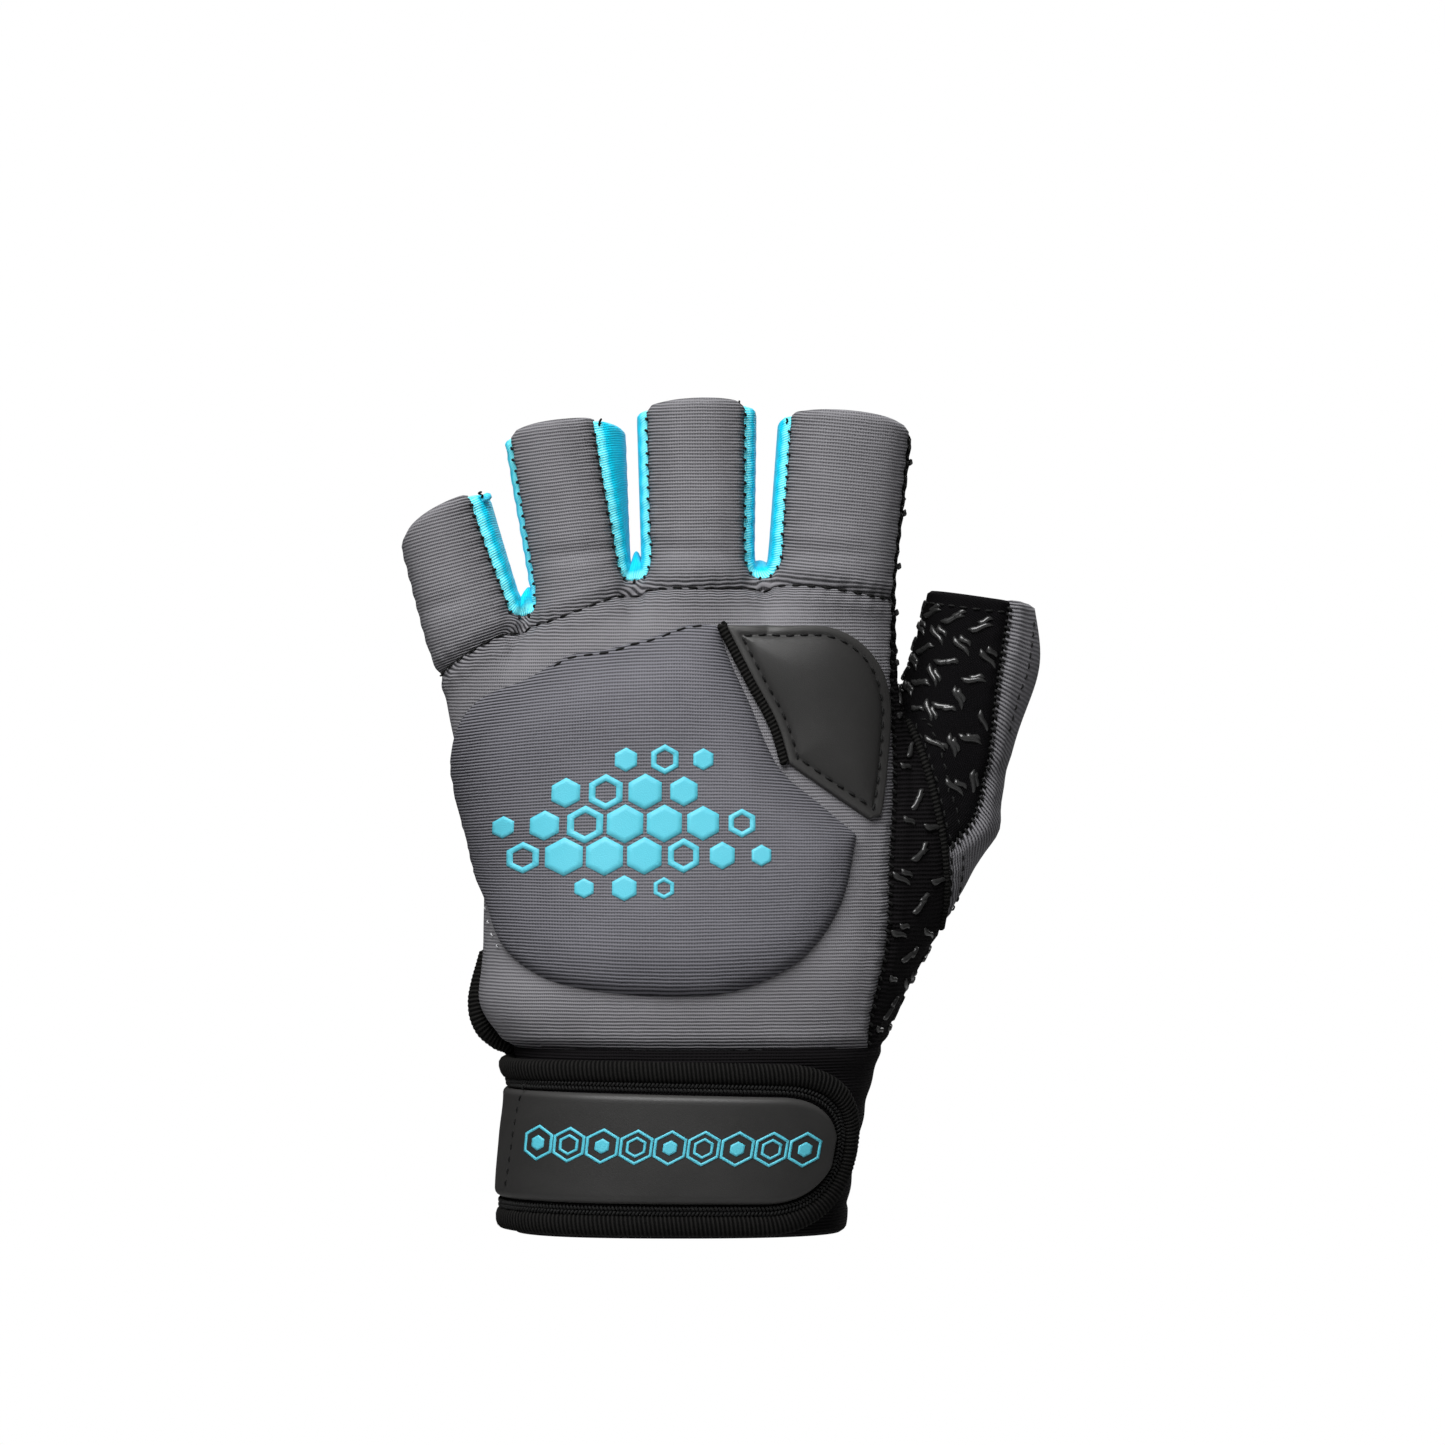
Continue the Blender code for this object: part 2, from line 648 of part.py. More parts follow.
def cut_panel(form, layer, name, wall, material):
    """Cut one panel out of the form, draw its edges back from the seams and give it its wall."""
    panel = PANELS.index(name)
    faces = [face for face in form.faces if face[layer] == panel]
    pull = {}
    for face in faces:
        for loop in face.loops:
            edge = loop.edge
            if sum(1 for f in edge.link_faces if f[layer] == panel) != 1:
                continue
            along = (loop.link_loop_next.vert.co - loop.vert.co).normalized()
            inward = face.normal.cross(along).normalized()
            for vert in edge.verts:
                pull.setdefault(vert, []).append(inward)
    outer = {}
    inner = {}
    cut = bmesh.new()
    for face in faces:
        for vert in face.verts:
            if vert in outer:
                continue
            place = vert.co.copy()
            if vert in pull:
                total = sum(pull[vert][1:], pull[vert][0].copy())
                mean = total.normalized()
                cosine = max(mean.dot(pull[vert][0]), 0.5)
                place += mean * (SEAM_GAP / 2 / cosine)
            outer[vert] = cut.verts.new(place)
            inner[vert] = cut.verts.new(place - vert.normal * wall)
    for face in faces:
        cut.faces.new([outer[v] for v in face.verts])
        cut.faces.new([inner[v] for v in reversed(face.verts)])
        for loop in face.loops:
            edge = loop.edge
            if sum(1 for f in edge.link_faces if f[layer] == panel) != 1:
                continue
            a = loop.vert
            b = loop.link_loop_next.vert
            cut.faces.new((outer[b], outer[a], inner[a], inner[b]))
    return finish(name, cut, material)


def surface_frame(surface, u, z, du, dz):
    """A point of a surface and its outward normal."""
    point = surface(u, z)
    across = surface(u + du, z) - surface(u - du, z)
    up = surface(u, z + dz) - surface(u, z - dz)
    normal = np.cross(across, up)
    return point, normal / np.linalg.norm(normal)


def back_frame(share, z):
    """A point on the back of the hand and its outward normal."""
    return surface_frame(lambda s, h: side_point(s, h, False), share, z, 0.004, 0.5 * MM)


def share_at(x, z):
    """The place round the back of the hand that lies at x. Past its left end, x goes on round it."""
    arcs, angles = side_arcs(z, False)
    end = float(np.interp(-180.0, -angles, arcs))
    shares = np.linspace(end, 1.0, 60)
    places = [side_point(share, z, False)[0] for share in shares]
    if x >= places[0]:
        return float(np.interp(x, places, shares))
    wrap = np.linspace(end, 0.0, 12)
    line = np.array([side_point(share, z, False) for share in wrap])
    arcs = np.concatenate([[0], np.cumsum(np.linalg.norm(np.diff(line, axis=0), axis=1))])
    return float(np.interp(places[0] - x, arcs, wrap))


def smooth_outline(points, count):
    """Even points on a smooth closed curve; a point given twice makes a corner."""
    points = [np.array(point, float) for point in points]
    curve = []
    number = len(points)
    for i in range(number):
        p0, p1, p2, p3 = (points[(i + k - 1) % number] for k in range(4))
        if np.allclose(p1, p2):
            continue
        for t in steps(0, 1, 12)[:-1]:
            curve.append(
                0.5
                * (
                    2 * p1
                    + (p2 - p0) * t
                    + (2 * p0 - 5 * p1 + 4 * p2 - p3) * t * t
                    + (3 * p1 - p0 - 3 * p2 + p3) * t**3
                )
            )
    curve.append(curve[0])
    curve = np.array(curve)
    lengths = np.concatenate([[0], np.cumsum(np.linalg.norm(np.diff(curve, axis=0), axis=1))])
    wanted = [lengths[-1] * i / count for i in range(count)]
    return [
        np.array([np.interp(w, lengths, curve[:, 0]), np.interp(w, lengths, curve[:, 1])])
        for w in wanted
    ]


def lay_on_back(name, outline, count, ring_shares, edge, height, material):
    """A padded piece that lies on the back of the hand inside an outline."""
    scale = np.array((KNUCKLE_BREADTH, HAND_LENGTH))
    rim = [point * scale for point in smooth_outline(outline, count)]
    middle = sum(rim) / len(rim)
    mesh_data = bmesh.new()

    def place(flat, share):
        z = CUFF_HEIGHT + flat[1]
        point, normal = back_frame(share_at(flat[0], z), z)
        crown = edge + (height - edge) * (1 - share**3)
        low = mesh_data.verts.new(point + normal * (LAY_GAP + UNDER_GAP * (1 - share**4)))
        high = mesh_data.verts.new(point + normal * (LAY_GAP + crown))
        return low, high

    centre = place(middle, 0.0)
    rings = [
        [place(middle + (point - middle) * share, share) for point in rim] for share in ring_shares
    ]
    for side in (0, 1):
        first = [pair[side] for pair in rings[0]]
        for i in range(count):
            mesh_data.faces.new((centre[side], first[i], first[(i + 1) % count]))
        for inner, outer in zip(rings[:-1], rings[1:]):
            for i in range(count):
                j = (i + 1) % count
                mesh_data.faces.new((inner[i][side], outer[i][side], outer[j][side], inner[j][side]))
    last = rings[-1]
    for i in range(count):
        j = (i + 1) % count
        mesh_data.faces.new((last[i][0], last[i][1], last[j][1], last[j][0]))
    return finish(name, mesh_data, material)


def sweep(name, stations, section, material, closed=False):
    """Carry a section along stations of point, across direction and up direction."""
    mesh_data = bmesh.new()
    loops = []
    for point, across, up in stations:
        loops.append([mesh_data.verts.new(point + across * a + up * b) for a, b in section])
    pairs = list(zip(loops[:-1], loops[1:]))
    if closed:
        pairs.append((loops[-1], loops[0]))
    for one, two in pairs:
        for i in range(len(section)):
            j = (i + 1) % len(section)
            mesh_data.faces.new((one[i], one[j], two[j], two[i]))
    if not closed:
        mesh_data.faces.new(loops[0][::-1])
        mesh_data.faces.new(loops[-1])
    return finish(name, mesh_data, material, 50.0)


def unit(v):
    return v / np.linalg.norm(v)


def round_section(radius, sides):
    """A round cord's section."""
    return [
        (radius * math.cos(2 * math.pi * i / sides), radius * math.sin(2 * math.pi * i / sides))
        for i in range(sides)
    ]


def tape_section(width, thick):
    """A bound tape's section, rounded at its edges, with its foot at zero height."""
    w = width / 2
    t = thick / 2
    return [
        (w * across, t + t * up)
        for across, up in (
            (1.0, -0.45), (1.0, 0.45), (0.62, 1.0), (-0.62, 1.0),
            (-1.0, 0.45), (-1.0, -0.45), (-0.62, -1.0), (0.62, -1.0),
        )
    ]


def cuff_frame(degrees, z):
    """A point on the cuff and its outward normal."""
    z = min(max(z, 0.5 * MM), CUFF_HEIGHT - 0.5 * MM)
    point, normal = surface_frame(lambda u, h: cuff_point(-u, h), -degrees, z, 0.5, 0.4 * MM)
    if normal[:2].dot(point[:2]) < 0:
        normal = -normal
    return point, normal


def strap_length_table():
    """Arc length round the cuff from the strap's start, against the angle."""
    angles = np.linspace(STRAP_START, STRAP_END, 120)
    points = np.array([cuff_point(a, STRAP_END_MIDDLE) for a in angles])
    gaps = np.linalg.norm(np.diff(points, axis=0), axis=1)
    return np.concatenate([[0], np.cumsum(gaps)]), angles


STRAP_ARCS, STRAP_ANGLES = strap_length_table()
STRAP_LENGTH = STRAP_ARCS[-1]


def strap_half(s):
    """Half the strap's width at arc length s, and the height of its middle."""
    along = s / STRAP_LENGTH
    width = STRAP_START_WIDTH + (STRAP_END_WIDTH - STRAP_START_WIDTH) * along
    middle = STRAP_START_MIDDLE + (STRAP_END_MIDDLE - STRAP_START_MIDDLE) * along
    return width / 2, middle


def strap_frame(s, z, out):
    """A point above the cuff at arc length s from the strap's start."""
    degrees = float(np.interp(s, STRAP_ARCS, STRAP_ANGLES))
    point, normal = cuff_frame(degrees, z)
    return point + normal * out, normal


def band(name, start, margin, out, thick, rows, material):
    """A flat band round the cuff with a rounded end, drawn in by a margin from the strap's edge."""
    reach = STRAP_END_ROUND - margin
    length = STRAP_LENGTH - margin
    straight = length - reach
    pitches = np.arange(0, straight - BAND_PITCH / 2, BAND_PITCH)
    places = [start] + [s for s in pitches if s > start + BAND_PITCH / 3] + [straight]
    places += [straight + reach * math.sin(math.radians(a)) for a in END_ANGLES]
    mesh_data = bmesh.new()
    sheets = []
    for level in (out, out + thick):
        sheet = []
        for s in places:
            share = max((s - straight) / reach, 0.0)
            half, middle = strap_half(s)
            tall = (half - margin) * (1 - share**END_POWER) ** (1 / END_POWER)
            sheet.append([
                mesh_data.verts.new(strap_frame(s, middle + tall * t, level)[0])
                for t in steps(-1, 1, rows)
            ])
        sheets.append(sheet)
    low, high = sheets
    for sheet in sheets:
        for one, two in zip(sheet[:-1], sheet[1:]):
            for i in range(rows):
                mesh_data.faces.new((one[i], one[i + 1], two[i + 1], two[i]))
    for i in range(len(places) - 1):
        for k in (0, rows):
            mesh_data.faces.new((low[i][k], low[i + 1][k], high[i + 1][k], high[i][k]))
    for i in range(rows):
        for k in (0, -1):
            mesh_data.faces.new((low[k][i], low[k][i + 1], high[k][i + 1], high[k][i]))
    return finish(name, mesh_data, material)


def make_tape(material):
    """The ribbed tape that binds the strap's long edges and its round end."""
    reach = STRAP_END_ROUND - TAPE_WIDTH / 2
    straight = STRAP_LENGTH - TAPE_WIDTH / 2 - reach
    path = [(s, 1.0) for s in steps(0, straight, 20)[:-1]]
    for a in steps(90, -90, 12):
        c = math.cos(math.radians(a))
        d = math.sin(math.radians(a))
        side = math.copysign(abs(d) ** (2 / END_POWER), d)
        path.append((straight + reach * abs(c) ** (2 / END_POWER), side))
    path += [(s, -1.0) for s in steps(straight, 0, 20)[1:]]
    places = []
    for s, side in path:
        half, middle = strap_half(s)
        z = middle + (half - TAPE_WIDTH / 2) * side
        places.append(strap_frame(s, z, STRAP_CLEARANCE))
    stations = []
    for i, (point, normal) in enumerate(places):
        before = places[max(i - 1, 0)][0]
        after = places[min(i + 1, len(places) - 1)][0]
        across = unit(np.cross(unit(after - before), normal))
        stations.append((point, across, normal))
    return sweep("strap_binding", stations, tape_section(TAPE_WIDTH, TAPE_THICK), material)


def make_cuff(material):
    """The knit tube round the wrist."""
    mesh_data = bmesh.new()
    sheets = []
    for inset in (0.0, CUFF_CLOTH):
        rings = []
        for height in steps(0.0, CUFF_HEIGHT - SEAM_GAP / 2, CUFF_ROWS):
            ring = []
            for a in steps(0, 360, CUFF_COLUMNS)[:-1]:
                _, normal = cuff_frame(a, height)
                flat = unit(vector(normal[0], normal[1], 0))
                ring.append(mesh_data.verts.new(cuff_point(a, height) - flat * inset))
            rings.append(ring)
        sheets.append(rings)
    for rings in sheets:
        for one, two in zip(rings[:-1], rings[1:]):
            for i in range(CUFF_COLUMNS):
                j = (i + 1) % CUFF_COLUMNS
                mesh_data.faces.new((one[i], one[j], two[j], two[i]))
    outer, inner = sheets
    for k in (0, -1):
        for i in range(CUFF_COLUMNS):
            j = (i + 1) % CUFF_COLUMNS
            mesh_data.faces.new((outer[k][i], outer[k][j], inner[k][j], inner[k][i]))
    return finish("cuff", mesh_data, material)


def make_piping(form, material):
    """The cord that covers the front half of the seam round the thumb's foot."""
    stations = []
    half = THUMB_COLUMNS // 2 + 1
    angles = thumb_angles(0.0)[:half]
    ring = [Vector(point) for point in thumb_ring(0.0)[:half]]
    nearest = [min(form.verts, key=lambda v: (v.co - point).length).normal for point in ring]
    normals = np.array([normal[:] for normal in nearest])
    places = np.linspace(0, 1, half)
    fine = np.linspace(PIPING_FROM, PIPING_TO, PIPING_STATIONS)
    points = [thumb_point(0.0, np.interp(f, places, angles)) for f in fine]
    for i, point in enumerate(points):
        along = unit(points[min(i + 1, len(points) - 1)] - points[max(i - 1, 0)])
        out = np.array([np.interp(fine[i], places, normals[:, k]) for k in range(3)])
        out = unit(out - along * out.dot(along))
        lift = PIPING_RADIUS + LAY_GAP
        stations.append((point + out * lift, np.cross(along, out), out))
    return sweep("thumb_piping", stations, round_section(PIPING_RADIUS, 6), material)


def make_bound_edge(material):
    """The bound edge that stands out at the foot of the hand."""
    points = []
    for height, out, angle in BOUND_EDGE:
        z = CUFF_HEIGHT + height * HAND_LENGTH
        point, normal = surface_frame(lambda u, h: hand_point(-u, h), -angle, z, 0.5, 0.4 * MM)
        if normal[0] > 0:
            normal = -normal
        lift = BOUND_EDGE_RADIUS + EDGE_GAP
        points.append(point + normal * (lift + out * HAND_DEPTH))
    stations = []
    for i, point in enumerate(points):
        along = unit(points[min(i + 1, len(points) - 1)] - points[max(i - 1, 0)])
        out = unit(np.cross(along, vector(0, 1, 0)))
        stations.append((point, np.cross(along, out), out))
    return sweep("edge_binding", stations, round_section(BOUND_EDGE_RADIUS, 8), material)


def make_material(name, colour, roughness):
    """A plain finish with the piece's colour."""
    material = bpy.data.materials.new(name)
    material.use_nodes = True
    shader = material.node_tree.nodes["Principled BSDF"]
    shader.inputs["Base Color"].default_value = (*colour, 1.0)
    shader.inputs["Roughness"].default_value = roughness
    shader.inputs["Metallic"].default_value = 0.0
    return material


GREY_KNIT = make_material("grey_rib_knit", (0.115, 0.113, 0.122), 0.85)
BLACK_KNIT = make_material("black_knit", (0.008, 0.007, 0.008), 0.9)
TURQUOISE = make_material("turquoise_stretch", (0.010, 0.45, 0.75), 0.6)
COATED = make_material("coated_patch", (0.040, 0.040, 0.038), 0.5)
TAPE = make_material("black_tape", (0.011, 0.011, 0.010), 0.8)

FORM, LAYER = build_form()
cut_panel(FORM, LAYER, "finger_panel", FOAM_CLOTH, GREY_KNIT)
cut_panel(FORM, LAYER, "hand_back", FOAM_CLOTH, GREY_KNIT)
cut_panel(FORM, LAYER, "palm", PALM_CLOTH, BLACK_KNIT)
for gusset in PANELS[FIRST_GUSSET : FIRST_GUSSET + 3]:
    cut_panel(FORM, LAYER, gusset, GUSSET_CLOTH, TURQUOISE)
cut_panel(FORM, LAYER, "thumb_front", PALM_CLOTH, BLACK_KNIT)
cut_panel(FORM, LAYER, "thumb_back", FOAM_CLOTH, GREY_KNIT)
make_piping(FORM, TAPE)
FORM.free()

lay_on_back("shell_pad", PAD_OUTLINE, PAD_POINTS, PAD_SHARES, PAD_EDGE, PAD_HEIGHT, GREY_KNIT)
lay_on_back(
    "knuckle_patch", PATCH_OUTLINE, PATCH_POINTS, PATCH_SHARES, PATCH_EDGE, PATCH_HEIGHT, COATED
)
make_cuff(BLACK_KNIT)
BODY_MARGIN = TAPE_WIDTH + LABEL_GAP
band("strap", 0.0, BODY_MARGIN, STRAP_CLEARANCE, STRAP_THICK, 3, BLACK_KNIT)
LABEL_FROM = float(np.interp(-LABEL_START, -STRAP_ANGLES, STRAP_ARCS))
band(
    "strap_label",
    LABEL_FROM,
    BODY_MARGIN + LABEL_MARGIN,
    STRAP_CLEARANCE + STRAP_THICK + LABEL_GAP,
    LABEL_THICK,
    3,
    COATED,
)
make_tape(TAPE)
make_bound_edge(TAPE)
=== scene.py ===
# %% [markdown]
# A field hockey glove for the left hand, standing in the form that it has when worn.
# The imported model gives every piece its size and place. This lesson dresses it: the same surface
# functions are drawn again much finer, cut into panels along the same seams, and covered with
# ribs, stitches, bindings, print and grip marks.

# %% Load the frame
import functools
import heapq
import math

import bmesh
import bpy
import numpy as np
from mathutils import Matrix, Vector
from mathutils.bvhtree import BVHTree
from mathutils.geometry import delaunay_2d_cdt
from mathutils.kdtree import KDTree


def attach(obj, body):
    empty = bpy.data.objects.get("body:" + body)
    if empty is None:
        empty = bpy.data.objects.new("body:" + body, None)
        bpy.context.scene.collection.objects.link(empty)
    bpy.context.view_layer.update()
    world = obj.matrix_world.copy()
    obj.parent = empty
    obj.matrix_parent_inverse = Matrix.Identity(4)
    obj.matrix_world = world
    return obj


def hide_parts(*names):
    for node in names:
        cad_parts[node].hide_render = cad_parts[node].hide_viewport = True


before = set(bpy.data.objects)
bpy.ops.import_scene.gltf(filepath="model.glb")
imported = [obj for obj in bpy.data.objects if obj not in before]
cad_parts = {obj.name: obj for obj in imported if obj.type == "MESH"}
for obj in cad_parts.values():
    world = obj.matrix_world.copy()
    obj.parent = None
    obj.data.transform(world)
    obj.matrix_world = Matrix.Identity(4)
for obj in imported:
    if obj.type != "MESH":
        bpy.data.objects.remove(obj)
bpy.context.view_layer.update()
MM = 0.001

# %% [markdown]
# The camera comes first, so that every later cell can be looked at from the photograph's side.
# The view is level, straight onto the back of the hand from about 1.3 m, so the far parts of the
# glove hardly shrink. A long lens at that distance gives the same flat look; the lens is worked out
# from the width that the frame has to show at the glove.

# %% Camera
VIEW_CENTRE = (10.9 * MM, 0.0, 101.5 * MM)
VIEW_DISTANCE = 1.3
VIEW_WIDTH = 0.289
camera_data = bpy.data.cameras.new("camera")
camera_data.sensor_width = 36
camera_data.lens = camera_data.sensor_width * VIEW_DISTANCE / VIEW_WIDTH
camera_data.clip_start = 0.05
camera = bpy.data.objects.new("camera", camera_data)
camera.location = (VIEW_CENTRE[0], -VIEW_DISTANCE, VIEW_CENTRE[2])
camera.rotation_euler = (math.radians(90), 0, 0)
bpy.context.scene.collection.objects.link(camera)
bpy.context.scene.camera = camera
print("lens in mm:", round(camera_data.lens, 1))

# %% [markdown]
# The room, the floor and every finish are built from shader nodes. Two helpers keep that short: one
# sets a node's inputs, by value or by link, and one adds a node with its inputs.

# %% Helpers for shader nodes
def set_inputs(tree, node, inputs):
    """Give inputs their values, or link them to other nodes' sockets."""
    for name, value in inputs.items():
        if isinstance(value, bpy.types.NodeSocket):
            tree.links.new(value, node.inputs[name])
        else:
            node.inputs[name].default_value = value
    return node


def add(tree, kind, inputs=None, **settings):
    """Add a shader node; inputs are values or other nodes' sockets."""
    made = tree.nodes.new("ShaderNode" + kind)
    for name, value in settings.items():
        setattr(made, name, value)
    return set_inputs(tree, made, inputs or {})

# %% [markdown]
# Studio light on a product like this is even and almost shadowless: a white room with big soft
# boxes. The world is shown to the camera as plain white, while the light that it throws is far
# weaker, so that the soft boxes can shape the folds. The strongest one hangs close in front.

# %% The room and its lights
WORLD_LIGHT = 0.05
LIGHTS = (
    # name, place, size, power
    ("front", (-0.15, -0.50, 0.68), 0.55, 10.6),
    ("key", (-0.9, -1.1, 0.9), 0.9, 2.0),
    ("fill", (1.1, -0.9, 0.2), 0.8, 0.3),
    ("top", (0.1, 0.5, 1.2), 0.8, 3.0),
    ("rear", (0.5, 1.3, 0.7), 1.0, 9.0),
)


def show_apart(tree, seen, thrown, surface):
    """Show one look to the camera, and let the other one light the glove."""
    by_camera = add(tree, "LightPath").outputs["Is Camera Ray"]
    either = add(tree, "MixShader", {0: by_camera, 1: thrown.outputs[0], 2: seen.outputs[0]})
    tree.links.new(either.outputs[0], surface)


def soft_box(name, place, size, power):
    """A square area light that faces the middle of the glove."""
    light = bpy.data.lights.new(name, "AREA")
    light.size = size
    light.energy = power
    lamp = bpy.data.objects.new(name, light)
    lamp.location = place
    aim = Vector(VIEW_CENTRE) - Vector(place)
    lamp.rotation_euler = aim.to_track_quat("-Z", "Y").to_euler()
    bpy.context.scene.collection.objects.link(lamp)


world = bpy.data.worlds.new("white room")
bpy.context.scene.world = world
world.use_nodes = True
room = world.node_tree
room.nodes.clear()
seen = add(room, "Background", {"Color": (1, 1, 1, 1)})
thrown = add(room, "Background", {"Color": (1.0, 0.99, 0.98, 1), "Strength": WORLD_LIGHT})
show_apart(room, seen, thrown, add(room, "OutputWorld").inputs["Surface"])
bpy.context.scene.view_settings.view_transform = "Standard"
for light in LIGHTS:
    soft_box(*light)
print("lights:", [light[0] for light in LIGHTS])

# %% [markdown]
# A pale floor lies well below the glove, as a studio table would. It has two looks for the same
# reason as the room: the camera sees it almost white, but it throws little light back up, or the
# undersides of the folds and the black palm would turn grey.

# %% The floor
FLOOR_HEIGHT = -0.30
FLOOR_RADIUS = 1.1

bpy.ops.mesh.primitive_circle_add(
    vertices=96, radius=FLOOR_RADIUS, fill_type="NGON", location=(VIEW_CENTRE[0], 0, FLOOR_HEIGHT)
)
floor = bpy.context.object
floor.name = "floor"
floor_paint = bpy.data.materials.new("pale floor")
floor_paint.use_nodes = True
paint = floor_paint.node_tree
pale = set_inputs(paint, paint.nodes["Principled BSDF"], {
    "Base Color": (0.8, 0.8, 0.79, 1), "Roughness": 0.9,
    "Emission Color": (1, 1, 1, 1), "Emission Strength": 0.35,
})
dim = add(paint, "BsdfDiffuse", {"Color": (0.5, 0.5, 0.5, 1)})
show_apart(paint, pale, dim, paint.nodes["Material Output"].inputs["Surface"])
floor.data.materials.append(floor_paint)
print("floor at:", FLOOR_HEIGHT)

# %% [markdown]
# The glove was drawn from a few real sizes of a hand and from short tables of sections.
# The same sizes and tables are repeated here, because the looks have to follow the same surface.
# A table holds shares of the named sizes, so that each row reads as a place on the glove.

# %% Sizes of the worn glove
CUFF_HEIGHT = 37.0 * MM
HAND_LENGTH = 93.0 * MM
SLEEVE_LENGTH = 34.0 * MM
WRIST_BREADTH = 75.0 * MM
WRIST_DEPTH = 46.0 * MM
KNUCKLE_BREADTH = 92.0 * MM
HAND_DEPTH = 36.0 * MM
FINGER_DEPTH = 21.0 * MM
KNUCKLE_FADE = 13.0 * MM
THUMB_REACH = 30.0 * MM
THUMB_LENGTH = 69.0 * MM
THUMB_DEPTH = 24.0 * MM

# %% Cloth, seams and bands
CUFF_CLOTH = 1.8 * MM
SEAM_GAP = 0.45 * MM
LAY_GAP = 0.8 * MM

# Shell pad and knuckle patch
PAD_EDGE = 1.3 * MM
PAD_HEIGHT = 5.6 * MM
PATCH_EDGE = 1.2 * MM
PATCH_HEIGHT = 3.0 * MM

# Strap, its tape and its label
STRAP_START_WIDTH = CUFF_HEIGHT - 1.4 * MM
STRAP_END_WIDTH = CUFF_HEIGHT - 3.6 * MM
STRAP_START_MIDDLE = CUFF_HEIGHT / 2 + 0.1 * MM
STRAP_END_MIDDLE = CUFF_HEIGHT / 2 - 1.2 * MM
STRAP_END_ROUND = 19.0 * MM
STRAP_THICK = 2.2 * MM
STRAP_CLEARANCE = 0.45 * MM
STRAP_START = 262.0
STRAP_END = 25.0
TAPE_WIDTH = 4.4 * MM
TAPE_THICK = 3.4 * MM
LABEL_MARGIN = 1.6 * MM
LABEL_THICK = 0.9 * MM
LABEL_GAP = 0.45 * MM
LABEL_START = 196.0

# Cords and bound edges
PIPING_FROM = 0.12
PIPING_TO = 0.93

# Roundness of each section: 2 is an ellipse, more is squarer
HAND_POWER = 2.35
FINGER_POWER = 2.2
THUMB_POWER = 2.1
END_POWER = 2.2

# How finely the form is drawn
FINGER_COLUMNS = 5
SIDE_COLUMNS = 3
CROTCH_COLUMNS = 4
SLEEVE_ROWS = 4
THUMB_COLUMNS = 16
THUMB_ROWS = 6

# %% Sections of the cuff, hand, fingers and thumb
# The cuff: height is a share of CUFF_HEIGHT, left and right of WRIST_BREADTH, back and palm of
# WRIST_DEPTH
CUFF_SECTIONS = (
    # height, left, right, back, palm
    (0.00, -0.408, 0.464, 0.490, 0.490),
    (0.25, -0.408, 0.487, 0.500, 0.495),
    (0.50, -0.398, 0.510, 0.500, 0.500),
    (0.80, -0.388, 0.541, 0.498, 0.500),
    (1.00, -0.415, 0.573, 0.487, 0.490),
)

# The hand: height is a share of HAND_LENGTH above the cuff, left and right of KNUCKLE_BREADTH, back
# and palm of HAND_DEPTH. wrist is how far a row follows the wrist's sizes instead. seam is the angle
# of the seam on the thumb side, in degrees
HAND_SECTIONS = (
    # height, left, right, back, palm, wrist, seam
    (0.00, -0.415, 0.573, 0.487, 0.490, 1.0, 24.0),
    (0.07, -0.408, 0.482, 0.630, 0.570, 0.0, 27.0),
    (0.18, -0.400, 0.530, 0.600, 0.560, 0.0, 32.0),
    (0.28, -0.400, 0.548, 0.550, 0.560, 0.0, 34.0),
    (0.40, -0.398, 0.538, 0.510, 0.560, 0.0, 31.0),
    (0.50, -0.422, 0.524, 0.480, 0.550, 0.0, 24.0),
    (0.60, -0.450, 0.510, 0.460, 0.530, 0.0, 16.0),
    (0.70, -0.474, 0.496, 0.445, 0.510, 0.0, 10.0),
    (0.80, -0.495, 0.491, 0.430, 0.480, 0.0, 6.0),
    (0.90, -0.530, 0.493, 0.400, 0.440, 0.0, 5.0),
    (1.02, -0.560, 0.496, 0.370, 0.410, 0.0, 5.0),
)

# Finger sleeves, from the little finger. x is a share of KNUCKLE_BREADTH, z of HAND_LENGTH at the
# base, and rise of SLEEVE_LENGTH from the base to the top edge. back and palm are shares of
# FINGER_DEPTH. lift is how much higher the top edge is at the back, as a share of SLEEVE_LENGTH.
# The last four columns are the angles of the seams, in degrees round the sleeve
FINGERS = (
    # left x, z, right x, z, top left x, rise, top right x, rise, back, palm, lift,
    # back left, back right, palm right, palm left
    (-0.520, 0.850, -0.316, 0.945, -0.578, 0.612, -0.380, 0.600, 0.43, 0.42, 0.10,
     200.0, 60.0, -35.0, -160.0),
    (-0.290, 0.948, -0.080, 1.018, -0.350, 0.935, -0.088, 0.800, 0.50, 0.48, 0.09,
     164.0, 65.0, -30.0, -150.0),
    (-0.058, 1.020, 0.188, 1.028, -0.068, 0.875, 0.193, 0.880, 0.52, 0.50, 0.09,
     150.0, 34.0, -28.0, -150.0),
    (0.215, 1.028, 0.493, 1.000, 0.237, 0.820, 0.528, 0.840, 0.52, 0.50, 0.095,
     147.0, 5.0, 5.0, -150.0),
)

# How far the back seam on each sleeve's right side leans into the gap at the base, in degrees, and
# how much of the sleeve's round moves with it. The gussets narrow downwards by this
BACK_SEAM_LEANS = (22.0, 30.0, 4.0, 0.0)
SEAM_LEAN_REACH = 72.0

# Dip of each crotch below the sleeves' bases, back edge and palm edge, as shares of SLEEVE_LENGTH
CROTCH_BACK_DIP = 0.075
CROTCH_PALM_DIP = -0.03

# How far the folded cloth between two sleeves stands up, as shares of SLEEVE_LENGTH
CROTCH_FOLDS = (0.18, 0.20, 0.06)

